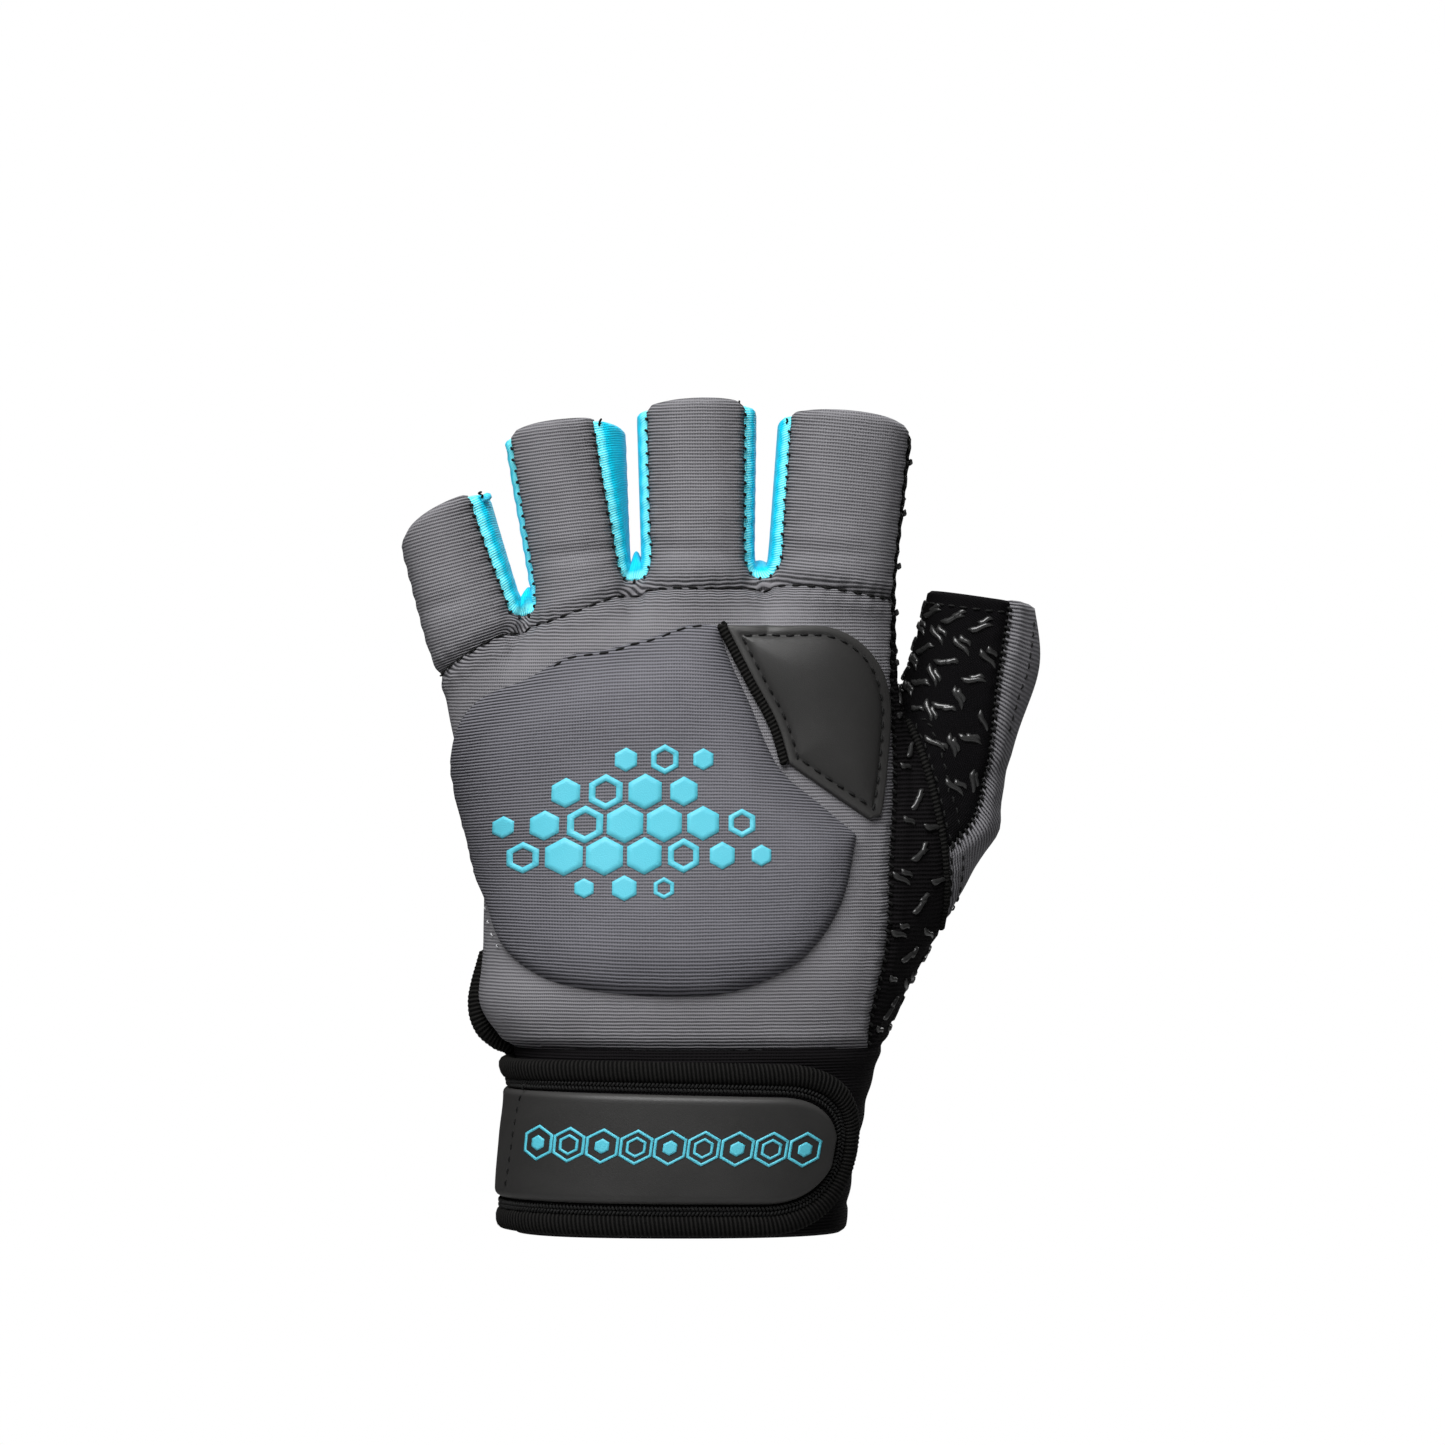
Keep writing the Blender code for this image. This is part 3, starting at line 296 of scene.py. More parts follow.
# Thumb sleeve, ring by ring from the hole in the palm to the hem. along is the ring's place. The web
# side and the outer side give x as a share of THUMB_REACH beyond the web, z as a share of
# THUMB_LENGTH above the foot of the hole. front and rear are shares of THUMB_DEPTH from middle, and
# bow pushes the front towards the thumb's outer side. seam is the angle of the black and grey seam
THUMB_RINGS = (
    # along, web x, z, outer x, z, middle, front, rear, bow, seam
    (0.00, 0.000, 0.645, 0.245, 0.006, 0.34, 0.46, 0.50, 0.17, 76.0),
    (0.14, 0.027, 0.692, 0.480, 0.143, 0.40, 0.46, 0.50, 0.14, 64.0),
    (0.28, 0.057, 0.742, 0.680, 0.319, 0.45, 0.45, 0.50, 0.10, 58.0),
    (0.42, 0.093, 0.794, 0.747, 0.492, 0.48, 0.44, 0.46, 0.05, 56.0),
    (0.56, 0.127, 0.845, 0.853, 0.624, 0.50, 0.44, 0.44, 0.02, 62.0),
    (0.70, 0.163, 0.897, 0.970, 0.736, 0.50, 0.43, 0.42, 0.00, 70.0),
    (0.85, 0.193, 0.949, 1.007, 0.827, 0.50, 0.42, 0.41, 0.00, 70.0),
    (1.00, 0.220, 1.000, 0.947, 0.955, 0.49, 0.41, 0.40, 0.00, 58.0),
)
THUMB_FOOT = 21.6 * MM
THUMB_REAR_SEAM = -90.0
THUMB_SEAM_COLUMN = 5
THUMB_REAR_COLUMN = 12

# %% Rows and columns of the form
# Rows of the hand, as shares of the way from the cuff to the fingers. The thumb hole takes the rows
# from HOLE_LOW to HOLE_HIGH and HOLE_COLUMNS columns from HOLE_FRONT, counted from the thumb seam
HAND_ROWS = (0.0, 0.05, 0.11, 0.18, 0.25, 0.30, 0.37, 0.45, 0.53, 0.61, 0.675, 0.75, 0.83, 0.90)
HOLE_LOW = 4
HOLE_HIGH = 10
HOLE_FRONT = 3
HOLE_COLUMNS = 2
LITTLE_BACK_COLUMNS = 7
INDEX_PALM_COLUMNS = 9
RELAX_COLUMNS = 17
RELAX_ROUNDS = 300
ARC_SAMPLES = 61

# %% Seam, pad and patch outlines
# The running seam below the knuckles: x as a share of KNUCKLE_BREADTH, z of HAND_LENGTH
KNUCKLE_SEAM = (
    (-0.520, 0.785), (-0.410, 0.847), (-0.320, 0.890), (-0.235, 0.916), (-0.110, 0.965),
    (-0.030, 0.984), (0.160, 0.984), (0.245, 0.996), (0.340, 0.992), (0.420, 0.975), (0.500, 0.958),
)

# Outlines on the back of the hand: x as a share of KNUCKLE_BREADTH, z of HAND_LENGTH. A corner is a
# point given twice
PAD_OUTLINE = (
    (0.112, 0.901), (0.112, 0.901), (0.048, 0.903), (-0.035, 0.876), (-0.135, 0.849), (-0.213, 0.837),
    (-0.304, 0.787), (-0.400, 0.748), (-0.450, 0.690), (-0.466, 0.600), (-0.456, 0.500),
    (-0.428, 0.400), (-0.390, 0.310), (-0.352, 0.214), (-0.265, 0.150), (-0.135, 0.122), (0.017, 0.113),
    (0.152, 0.126), (0.289, 0.193), (0.374, 0.310), (0.408, 0.455), (0.408, 0.455), (0.330, 0.520),
    (0.240, 0.600), (0.180, 0.730), (0.130, 0.840),
)
PATCH_OUTLINE = (
    (0.122, 0.900), (0.122, 0.900), (0.222, 0.897), (0.352, 0.896), (0.436, 0.842), (0.474, 0.746),
    (0.470, 0.600), (0.457, 0.494), (0.457, 0.494), (0.432, 0.486), (0.432, 0.486), (0.345, 0.545),
    (0.258, 0.606), (0.258, 0.606), (0.232, 0.690), (0.180, 0.788),
)

# %% [markdown]
# Every section is a rounded ring whose four ends come from the tables: left, right, back and palm.
# A smooth curve through the rows gives the ring at any height. The fingers, the thumb and the cuff
# are rings too, so one small function draws them all.

# %% Rings and curves
def smooth_at(places, values, place):
    """A smooth curve through the table's values, read at one place."""
    places = np.asarray(places, float)
    values = np.asarray(values, float)
    slopes = np.gradient(values, places)
    place = min(max(place, places[0]), places[-1])
    i = min(int(np.searchsorted(places, place, side="right")) - 1, len(places) - 2)
    step = places[i + 1] - places[i]
    t = (place - places[i]) / step
    return (
        (2 * t**3 - 3 * t**2 + 1) * values[i]
        + (t**3 - 2 * t**2 + t) * step * slopes[i]
        + (3 * t**2 - 2 * t**3) * values[i + 1]
        + (t**3 - t**2) * step * slopes[i + 1]
    )


def column(table, index):
    """One named column of a table."""
    return [row[index] for row in table]


def unit(vectors):
    """The same directions, each with length one."""
    return vectors / np.linalg.norm(vectors, axis=-1, keepdims=True)


def line_places(points):
    """How far along a line each of its points lies."""
    return np.concatenate([[0], np.cumsum(np.linalg.norm(np.diff(points, axis=0), axis=1))])


def ring_point(left, right, back, palm, degrees, power):
    """A point on a rounded section: 0 is the right end, 90 the back, 180 the left, -90 the palm."""
    c = math.cos(math.radians(degrees))
    s = math.sin(math.radians(degrees))
    across = math.copysign(abs(c) ** (2 / power), c)
    deep = abs(s) ** (2 / power)
    side = back if s >= 0 else palm
    return (left + right) / 2 + (right - left) / 2 * across + side * deep


def vector(x, y, z):
    return np.array((x, y, z), float)


def cuff_point(degrees, z):
    """A point on the cuff's outer surface."""
    height = z / CUFF_HEIGHT
    places = column(CUFF_SECTIONS, 0)
    left, right, back, palm = (
        smooth_at(places, column(CUFF_SECTIONS, i), height) for i in range(1, 5)
    )
    return ring_point(
        vector(left * WRIST_BREADTH, 0, z),
        vector(right * WRIST_BREADTH, 0, z),
        vector(0, -back * WRIST_DEPTH, 0),
        vector(0, palm * WRIST_DEPTH, 0),
        degrees,
        HAND_POWER,
    )

# %% The smooth hand
@functools.lru_cache(maxsize=None)
def hand_section(z):
    """The smooth hand at a height: left, right, back and palm in metres and the seam's angle."""
    height = (z - CUFF_HEIGHT) / HAND_LENGTH
    places = column(HAND_SECTIONS, 0)
    wrist = column(HAND_SECTIONS, 5)
    breadths = [KNUCKLE_BREADTH + w * (WRIST_BREADTH - KNUCKLE_BREADTH) for w in wrist]
    depths = [HAND_DEPTH + w * (WRIST_DEPTH - HAND_DEPTH) for w in wrist]
    values = []
    for index, sizes in ((1, breadths), (2, breadths), (3, depths), (4, depths)):
        lengths = [share * size for share, size in zip(column(HAND_SECTIONS, index), sizes)]
        values.append(smooth_at(places, lengths, height))
    values.append(smooth_at(places, column(HAND_SECTIONS, 6), height))
    return values


def hand_point(degrees, z):
    """A point on the smooth hand, before the fingers shape it."""
    left, right, back, palm, _ = hand_section(z)
    return ring_point(
        vector(left, 0, z), vector(right, 0, z), vector(0, -back, 0), vector(0, palm, 0),
        degrees, HAND_POWER,
    )

# %% The finger sleeves
def leaned(finger, degrees, along):
    """The angle round a sleeve after its right-hand back seam has leant into the gap."""
    near = 1 - min(abs(degrees - finger[12]) / SEAM_LEAN_REACH, 1)
    lean = BACK_SEAM_LEANS[FINGERS.index(finger)] * math.sin(near * math.pi / 2) ** 2
    return degrees - lean * (1 - along) ** 1.4


def finger_point(finger, degrees, along):
    """A point on a finger sleeve; along is 0 at the base and 1 at the top edge."""
    degrees = leaned(finger, degrees, along)
    (lx, lz, rx, rz, tlx, tlz, trx, trz, back, palm, lift) = finger[:11]
    base_z = CUFF_HEIGHT
    left0 = vector(lx * KNUCKLE_BREADTH, 0, base_z + lz * HAND_LENGTH)
    right0 = vector(rx * KNUCKLE_BREADTH, 0, base_z + rz * HAND_LENGTH)
    left1 = vector(tlx * KNUCKLE_BREADTH, 0, left0[2] + tlz * SLEEVE_LENGTH)
    right1 = vector(trx * KNUCKLE_BREADTH, 0, right0[2] + trz * SLEEVE_LENGTH)
    rise = lift * SLEEVE_LENGTH * along
    return ring_point(
        left0 + (left1 - left0) * along,
        right0 + (right1 - right0) * along,
        vector(0, -back * FINGER_DEPTH, rise),
        vector(0, palm * FINGER_DEPTH, -rise),
        degrees,
        FINGER_POWER,
    )


def steps(first, last, count):
    """count + 1 even values from first to last."""
    return [first + (last - first) * i / count for i in range(count + 1)]


def crotch_point(a, b, across, side):
    """A point on the bottom of the U between two sleeves; side is 0 at the back and 1 at the palm."""
    start = finger_point(a, a[12] + (a[13] - a[12]) * side, 0)
    end = finger_point(b, b[11] + (b[14] + 360 - b[11]) * side, 0)
    dip = CROTCH_BACK_DIP + (CROTCH_PALM_DIP - CROTCH_BACK_DIP) * side
    point = start + (end - start) * across
    fold = CROTCH_FOLDS[FINGERS.index(a)] * math.sin(math.pi * side) ** 2
    point[2] += (fold - dip) * SLEEVE_LENGTH * math.sin(math.pi * across)
    return point

# %% Where the hand ends and the sleeves begin
def base_line(palm_side):
    """The points where the hand ends and the sleeves begin, and the columns of each sleeve."""
    points = []
    spans = []
    order = FINGERS[::-1] if palm_side else FINGERS
    first_count = INDEX_PALM_COLUMNS if palm_side else LITTLE_BACK_COLUMNS
    start, end = (13, 14) if palm_side else (11, 12)
    for number, finger in enumerate(order):
        angles = steps(finger[start], finger[end], FINGER_COLUMNS if number else first_count)
        points = points[:-1]
        spans.append((finger, len(points), angles))
        points.extend(finger_point(finger, degrees, 0) for degrees in angles)
        if number == len(order) - 1:
            break
        other = order[number + 1]
        for across in steps(0, 1, CROTCH_COLUMNS)[1:]:
            if palm_side:
                points.append(crotch_point(other, finger, 1 - across, 1))
            else:
                points.append(crotch_point(finger, other, across, 0))
    return points, spans


def arc_shares(points):
    """How far along a line of points each one lies, from 0 to 1."""
    lengths = line_places(points)
    return lengths / lengths[-1]


@functools.lru_cache(maxsize=None)
def side_arcs(z, palm_side):
    """Angles round one side of the hand at a height, and the share of the way that each has gone."""
    left, right, back, palm, seam = hand_section(z)
    if palm_side:
        angles = np.linspace(seam, FINGERS[0][11] - 360, ARC_SAMPLES)
    else:
        angles = np.linspace(FINGERS[0][11], seam, ARC_SAMPLES)
    c = np.cos(np.radians(angles))
    s = np.sin(np.radians(angles))
    deep = np.where(s > 0, back, palm)
    flat = np.column_stack((
        (right - left) / 2 * np.sign(c) * np.abs(c) ** (2 / HAND_POWER),
        deep * np.sign(s) * np.abs(s) ** (2 / HAND_POWER),
    ))
    return arc_shares(flat), angles


def seam_height(x):
    """The height of the running seam below the knuckles."""
    places = [row[0] * KNUCKLE_BREADTH for row in KNUCKLE_SEAM]
    return CUFF_HEIGHT + smooth_at(places, column(KNUCKLE_SEAM, 1), x) * HAND_LENGTH


def height_on_sleeve(finger, point):
    """How far up the cloth a point on a finger sleeve lies, in mm, measured along the finger."""
    foot = (finger_point(finger, 0, 0) + finger_point(finger, 180, 0)) / 2
    tip = (finger_point(finger, 0, 1) + finger_point(finger, 180, 1)) / 2
    return (foot[2] + np.dot(point - foot, unit(tip - foot))) / MM

# %% [markdown]
# The back and the palm are drawn in the same way. Columns of points run up from the cuff and bend
# smoothly into the finger bases, which stand off the plain hand a little. One class serves both, and
# it also knows where each point lies on the flat cloth.

# %% The back and the palm
class Side:
    """The back or the palm of the form, between the cuff and the finger bases."""

    def __init__(self, palm):
        self.palm = palm
        self.base, self.spans = base_line(palm)
        self.shares = arc_shares(self.base)
        self.breadth = line_places(self.base)[-1] / MM
        self.heights = [point[2] for point in self.base]
        self.offsets = np.array([
            point - hand_point(self.angle(share, point[2]), point[2])
            for point, share in zip(self.base, self.shares)
        ])

    def angle(self, share, z):
        """The angle round the hand of a column at a height."""
        shares, angles = side_arcs(z, self.palm)
        return float(np.interp(share, shares, angles))

    def point(self, share, z):
        """A point on this side, by its share of the way across and its height."""
        top = np.interp(share, self.shares, self.heights)
        near = min(max(1 - (top - z) / KNUCKLE_FADE, 0.0), 1.0)
        near = near * near * (3 - 2 * near)
        offset = np.array([np.interp(share, self.shares, self.offsets[:, i]) for i in range(3)])
        return hand_point(self.angle(share, z), z) + offset * near

    def grid(self):
        """Rows of points from the cuff to the bases. The row before the last follows the seam."""
        columns = list(zip(self.shares, self.base))
        rows = []
        for rise in HAND_ROWS:
            heights = [CUFF_HEIGHT + (end[2] - CUFF_HEIGHT) * rise for _, end in columns]
            rows.append([self.point(share, z) for (share, _), z in zip(columns, heights)])
        rows.append([
            self.point(share, min(seam_height(end[0]), end[2] - SEAM_GAP * 3))
            for share, end in columns
        ])
        return rows + [[np.array(end) for end in self.base]]

    def places(self, rows):
        """Places on the cloth in mm: across by share, up by height and along each finger."""
        known = {}
        for finger, first, angles in self.spans:
            for i in range(first, first + len(angles)):
                known[i] = height_on_sleeve(finger, self.base[i]) - self.base[i][2] / MM
        leans = np.interp(range(len(self.base)), list(known), list(known.values()))
        up = [[point[2] / MM for point in row] for row in rows[:-1]]
        up.append([point[2] / MM + lean for point, lean in zip(self.base, leans)])
        return [[(s * self.breadth, height) for s, height in zip(self.shares, row)] for row in up]


BACK_SIDE = Side(False)
PALM_SIDE = Side(True)
print("breadths of cloth in mm:", round(BACK_SIDE.breadth, 1), round(PALM_SIDE.breadth, 1))

# %% The thumb
def thumb_point(along, degrees):
    """A point on the thumb sleeve: 180 is the web side, 0 the outer side, 90 the camera side."""
    places = column(THUMB_RINGS, 0)
    wx, wz, ox, oz, middle, front, rear, bow = (
        smooth_at(places, column(THUMB_RINGS, i), along) for i in range(1, 9)
    )
    foot = CUFF_HEIGHT + THUMB_FOOT
    web_x = hand_section(foot + THUMB_RINGS[0][2] * THUMB_LENGTH)[1]
    y = middle * THUMB_DEPTH
    return ring_point(
        vector(web_x + wx * THUMB_REACH, y, foot + wz * THUMB_LENGTH),
        vector(web_x + ox * THUMB_REACH, y, foot + oz * THUMB_LENGTH),
        vector(bow * THUMB_REACH, -front * THUMB_DEPTH, 0),
        vector(-bow / 2 * THUMB_REACH, rear * THUMB_DEPTH, 0),
        degrees,
        THUMB_POWER,
    )


def thumb_angles(along):
    """The angles of the thumb's columns; one column follows the black and grey seam."""
    seam = smooth_at(column(THUMB_RINGS, 0), column(THUMB_RINGS, 9), along)
    first = steps(180.0, seam, THUMB_SEAM_COLUMN)
    second = steps(seam, THUMB_REAR_SEAM, THUMB_REAR_COLUMN - THUMB_SEAM_COLUMN)
    third = steps(THUMB_REAR_SEAM, -180.0, THUMB_COLUMNS - THUMB_REAR_COLUMN)
    return first + second[1:] + third[1:]


def thumb_ring(along):
    return [thumb_point(along, degrees) for degrees in thumb_angles(along)]


def hole_cells():
    """The vertices round the thumb hole, as row and column, in the order of the thumb's columns."""
    front = HOLE_FRONT
    rear = HOLE_FRONT + HOLE_COLUMNS
    middle = HOLE_FRONT + HOLE_COLUMNS // 2
    cells = [(HOLE_HIGH, middle)]
    cells += [(row, front) for row in range(HOLE_HIGH, HOLE_LOW - 1, -1)]
    cells.append((HOLE_LOW, middle))
    cells += [(row, rear) for row in range(HOLE_LOW, HOLE_HIGH + 1)]
    return cells

# %% The palm drawn out to the thumb
def relaxed_palm():
    """The palm's grid, drawn out smoothly to the foot of the thumb sleeve."""
    rows = np.array(PALM_SIDE.grid())
    pull = np.zeros_like(rows)
    fixed = np.zeros(rows.shape[:2], bool)
    fixed[0, :] = True
    fixed[-3:, :] = True
    fixed[:, 0] = True
    fixed[:, RELAX_COLUMNS:] = True
    for (row, col), target in zip(hole_cells(), thumb_ring(0.0)):
        pull[row, col] = target - rows[row, col]
        fixed[row, col] = True
    free = ~fixed
    for _ in range(RELAX_ROUNDS):
        mean = (
            np.roll(pull, 1, 0) + np.roll(pull, -1, 0) + np.roll(pull, 1, 1) + np.roll(pull, -1, 1)
        ) / 4
        pull[free] = mean[free]
    return rows + pull

# %% [markdown]
# The glove is sewn from panels, but a hand fills it as one smooth form. So one open surface is drawn
# first, with a panel's number on each face, and it is cut along the seams later. Neighbouring panels
# then meet exactly. Each corner also gets a place on the cloth, in millimetres along and across it,
# which the ribs, the stitches and the print follow. Blender keeps that place as a UV map.

# %% One form, each face marked with its panel
PANELS = (
    "finger_panel", "hand_back", "palm", "gusset_little_ring", "gusset_ring_middle",
    "gusset_middle_index", "thumb_front", "thumb_back",
)
FIRST_GUSSET = PANELS.index("gusset_little_ring")


def add_grid(form, cloth, rows, places, panel, skip=()):
    """Add a grid of quads to the form, with their panel and their places on the cloth."""
    made = [[form.verts.new(point) for point in row] for row in rows]
    for r in range(len(made) - 1):
        for c in range(len(made[0]) - 1):
            if (r, c) in skip:
                continue
            cells = ((r, c), (r, c + 1), (r + 1, c + 1), (r + 1, c))
            face = form.faces.new([made[i][j] for i, j in cells])
            face.material_index = PANELS.index(panel)
            for loop, (i, j) in zip(face.loops, cells):
                loop[cloth].uv = places[i][j]


def gusset_rows(number):
    """The strip between two sleeves: down one side, over the crotch and up the other."""
    a = FINGERS[number]
    b = FINGERS[number + 1]
    sides = steps(0, 1, SIDE_COLUMNS)
    rows = []
    for along in steps(1, 0, SLEEVE_ROWS):
        rows.append([finger_point(a, a[12] + (a[13] - a[12]) * s, along) for s in sides])
    for across in steps(0, 1, CROTCH_COLUMNS)[1:-1]:
        rows.append([crotch_point(a, b, across, s) for s in sides])
    for along in steps(0, 1, SLEEVE_ROWS):
        rows.append([finger_point(b, b[11] + (b[14] + 360 - b[11]) * s, along) for s in sides])
    return rows


def running_places(rows):
    """Places on the cloth by the rows' and columns' own lengths, in mm."""
    rows = np.array(rows)
    up = np.linalg.norm(np.diff(rows, axis=0), axis=2).mean(axis=1)
    across = np.linalg.norm(np.diff(rows, axis=1), axis=2).mean(axis=0)
    v = np.concatenate([[0], np.cumsum(up)]) / MM
    u = np.concatenate([[0], np.cumsum(across)]) / MM
    return [[(a, b) for a in u] for b in v]


# %% All the panels as one form
def add_thumb(form, cloth):
    """Add the thumb sleeve, whose black side goes round past the first column."""
    rings = [thumb_ring(along) for along in steps(0, 1, THUMB_ROWS)]
    places = running_places(rings)
    girth = places[0][-1][0]
    wrapped = [[(u - girth, v) for u, v in row] for row in places]
    for first, last, marks, panel in (
        (0, THUMB_SEAM_COLUMN, places, "thumb_front"),
        (THUMB_REAR_COLUMN, THUMB_COLUMNS, wrapped, "thumb_front"),
        (THUMB_SEAM_COLUMN, THUMB_REAR_COLUMN, places, "thumb_back"),
    ):
        part = slice(first, last + 1)
        add_grid(form, cloth, [ring[part] for ring in rings], [row[part] for row in marks], panel)


def build_form():
    """The whole glove as one open surface."""
    form = bmesh.new()
    cloth = form.loops.layers.uv.new("cloth")
    rows = BACK_SIDE.grid()
    places = BACK_SIDE.places(rows)
    add_grid(form, cloth, rows[:-1], places, "hand_back")
    gaps = np.linalg.norm(np.array(rows[-1]) - np.array(rows[-2]), axis=1) / MM
    sewn = [(u, v - gap) for (u, v), gap in zip(places[-1], gaps)]
    add_grid(form, cloth, rows[-2:], [sewn, places[-1]], "finger_panel")
    hole = [
        (r, c)
        for r in range(HOLE_LOW, HOLE_HIGH)
        for c in range(HOLE_FRONT, HOLE_FRONT + HOLE_COLUMNS)
    ]
    rows = relaxed_palm()
    add_grid(form, cloth, rows, PALM_SIDE.places(rows), "palm", hole)
    for side, panel in ((BACK_SIDE, "finger_panel"), (PALM_SIDE, "palm")):
        for finger, first, angles in side.spans:
            across = side.shares[first:first + len(angles)] * side.breadth
            rows = [
                [finger_point(finger, a, along) for a in angles]
                for along in steps(0, 1, SLEEVE_ROWS)
            ]
            places = [
                [(u, height_on_sleeve(finger, point)) for u, point in zip(across, row)]
                for row in rows
            ]
            add_grid(form, cloth, rows, places, panel)
    for number, panel in enumerate(PANELS[FIRST_GUSSET:FIRST_GUSSET + 3]):
        rows = gusset_rows(number)
        add_grid(form, cloth, rows, running_places(rows), panel)
    add_thumb(form, cloth)
    bmesh.ops.remove_doubles(form, verts=form.verts, dist=0.01 * MM)
    bmesh.ops.recalc_face_normals(form, faces=form.faces)
    rearmost = min(form.faces, key=lambda face: face.calc_center_median().y)
    if rearmost.normal.y > 0:
        bmesh.ops.reverse_faces(form, faces=form.faces)
    return form


# %% [markdown]
# Cloth drawn tight over a hand has no facets. A Subdivision Surface modifier rounds the coarse form
# and carries the cloth's places along. It draws a tube in a little, so the form is let out again.

# %% The form rounded and read as arrays
FORM_LEVEL = 3
LET_OUT = 0.18 * MM

coarse = build_form()
coarse_mesh = bpy.data.meshes.new("form")
coarse.to_mesh(coarse_mesh)
coarse.free()
for panel in PANELS:
    coarse_mesh.materials.append(None)
holder = bpy.data.objects.new("form", coarse_mesh)
bpy.context.scene.collection.objects.link(holder)
rounding = holder.modifiers.new("rounding", "SUBSURF")
rounding.levels = FORM_LEVEL
rounding.render_levels = FORM_LEVEL
rounding.uv_smooth = "PRESERVE_BOUNDARIES"
fine_mesh = bpy.data.meshes.new_from_object(
    holder.evaluated_get(bpy.context.evaluated_depsgraph_get())
)


def read(collection, name, width, kind=np.float64):
    values = np.empty(len(collection) * width, dtype=np.float32 if kind is np.float64 else np.int32)
    collection.foreach_get(name, values)
    return values.reshape(-1, width).astype(kind) if width > 1 else values.astype(kind)


POINTS = read(fine_mesh.vertices, "co", 3)
NORMALS = read(fine_mesh.vertex_normals, "vector", 3)
CORNERS = read(fine_mesh.loops, "vertex_index", 1, np.int64).reshape(-1, 4)
PANEL_OF = read(fine_mesh.polygons, "material_index", 1, np.int64)
CLOTH = read(fine_mesh.uv_layers["cloth"].uv, "vector", 2).reshape(-1, 4, 2)
bpy.data.objects.remove(holder)
POINTS += NORMALS * LET_OUT
at_cuff = POINTS[:, 2] < CUFF_HEIGHT + SEAM_GAP
NORMALS[at_cuff, 2] = 0
NORMALS = unit(NORMALS)
print("form:", len(POINTS), "points,", len(CORNERS), "faces")

# %% [markdown]
# Everything that sewing does to cloth happens near a seam: it dips into the stitches, and it puckers
# between them. So the code finds the seams first, as the edges where two panels meet. It walks along
# them to give each seam point its length along the seam, which sets the rhythm of the puckers.

# %% The seams of the form
ALL_EDGES = np.sort(np.stack([CORNERS, np.roll(CORNERS, -1, axis=1)], axis=2).reshape(-1, 2), axis=1)
EDGE_PANELS = np.repeat(PANEL_OF, 4)
UNIQUE_EDGES, EDGE_NUMBER = np.unique(ALL_EDGES, axis=0, return_inverse=True)
EDGE_NUMBER = EDGE_NUMBER.reshape(-1)
uses = np.bincount(EDGE_NUMBER)
lowest = np.full(len(UNIQUE_EDGES), 99)
highest = np.full(len(UNIQUE_EDGES), -1)
np.minimum.at(lowest, EDGE_NUMBER, EDGE_PANELS)
np.maximum.at(highest, EDGE_NUMBER, EDGE_PANELS)
heights_of_edges = POINTS[UNIQUE_EDGES][:, :, 2].max(axis=1)
is_cuff_seam = (uses == 1) & (heights_of_edges < CUFF_HEIGHT + 1.0 * MM)
is_seam = (uses == 2) & (lowest != highest) | is_cuff_seam
is_hem = (uses == 1) & ~is_cuff_seam


def walk(edges):
    """The length along a net of edges from its first point, for each of its points."""
    near = {}
    for a, b in edges.tolist():
        gap = float(np.linalg.norm(POINTS[a] - POINTS[b]))
        near.setdefault(a, []).append((b, gap))
        near.setdefault(b, []).append((a, gap))
    length = {}
    for start in near:
        queue = [(0.0, start)] if start not in length else []
        while queue:
            so_far, point = heapq.heappop(queue)
            if point in length:
                continue
            length[point] = so_far
            for other, gap in near[point]:
                if other not in length:
                    heapq.heappush(queue, (so_far + gap, other))
    return length


def nearest_on(edges, reach):
    """For each point of the form, its distance to the edges and the length along them there."""
    length = walk(edges)
    tree = KDTree(len(length))
    for point in length:
        tree.insert(POINTS[point], point)
    tree.balance()
    distance = np.full(len(POINTS), reach)
    place = np.zeros(len(POINTS))
    for i, point in enumerate(POINTS):
        _, other, gap = tree.find(point)
        if gap < reach:
            distance[i] = gap
            place[i] = length[other]
    return distance, place


SEAM_REACH = 8.0 * MM
SEAM_DISTANCE, SEAM_PLACE = nearest_on(UNIQUE_EDGES[is_seam], SEAM_REACH)
HEM_DISTANCE, _ = nearest_on(UNIQUE_EDGES[is_hem], SEAM_REACH)
print("seam edges:", int(is_seam.sum()), "hem edges:", int(is_hem.sum()))

# %% [markdown]
# The cloth isn't smooth even on a full hand. Beside a seam it dips and puckers at the pitch of the
# stitches. Across the sleeves run shallow dents where the knuckles bend. Each is a small push along
# the surface's normal, added up for every point, with its size named here.

# %% Seam dips, puckers and dents
SEAM_DIP = 0.55 * MM
SEAM_DIP_REACH = 1.1 * MM
PUFF = 0.28 * MM
PUFF_REACH = 2.6 * MM
PUCKER = 0.16 * MM
PUCKER_PITCH = 3.4 * MM
PUCKER_REACH = 2.4 * MM

# Dents: the two ends, x and z as shares of KNUCKLE_BREADTH and HAND_LENGTH, and depth and width in mm
DENTS = (
    # x, z, x, z, depth, width
    (-0.275, 1.045, -0.120, 1.062, 0.75, 1.6),
    (-0.055, 1.066, 0.150, 1.056, 0.75, 1.7),
    (0.230, 1.062, 0.450, 1.050, 0.65, 1.8),
    (-0.545, 0.930, -0.430, 0.965, 0.45, 1.6),
    (0.030, 1.105, 0.180, 1.100, 0.25, 2.2),
    (0.260, 1.120, 0.420, 1.135, 0.25, 2.4),
)

# Folds where the thumb bends, on its outer side, in the same columns; a depth below nought is a ridge
THUMB_FOLDS = (
    (0.735, 0.490, 0.640, 0.440, -1.8, 3.8),
    (0.745, 0.595, 0.660, 0.560, 0.8, 1.8),
    (0.700, 0.385, 0.620, 0.350, 0.15, 1.8),
)


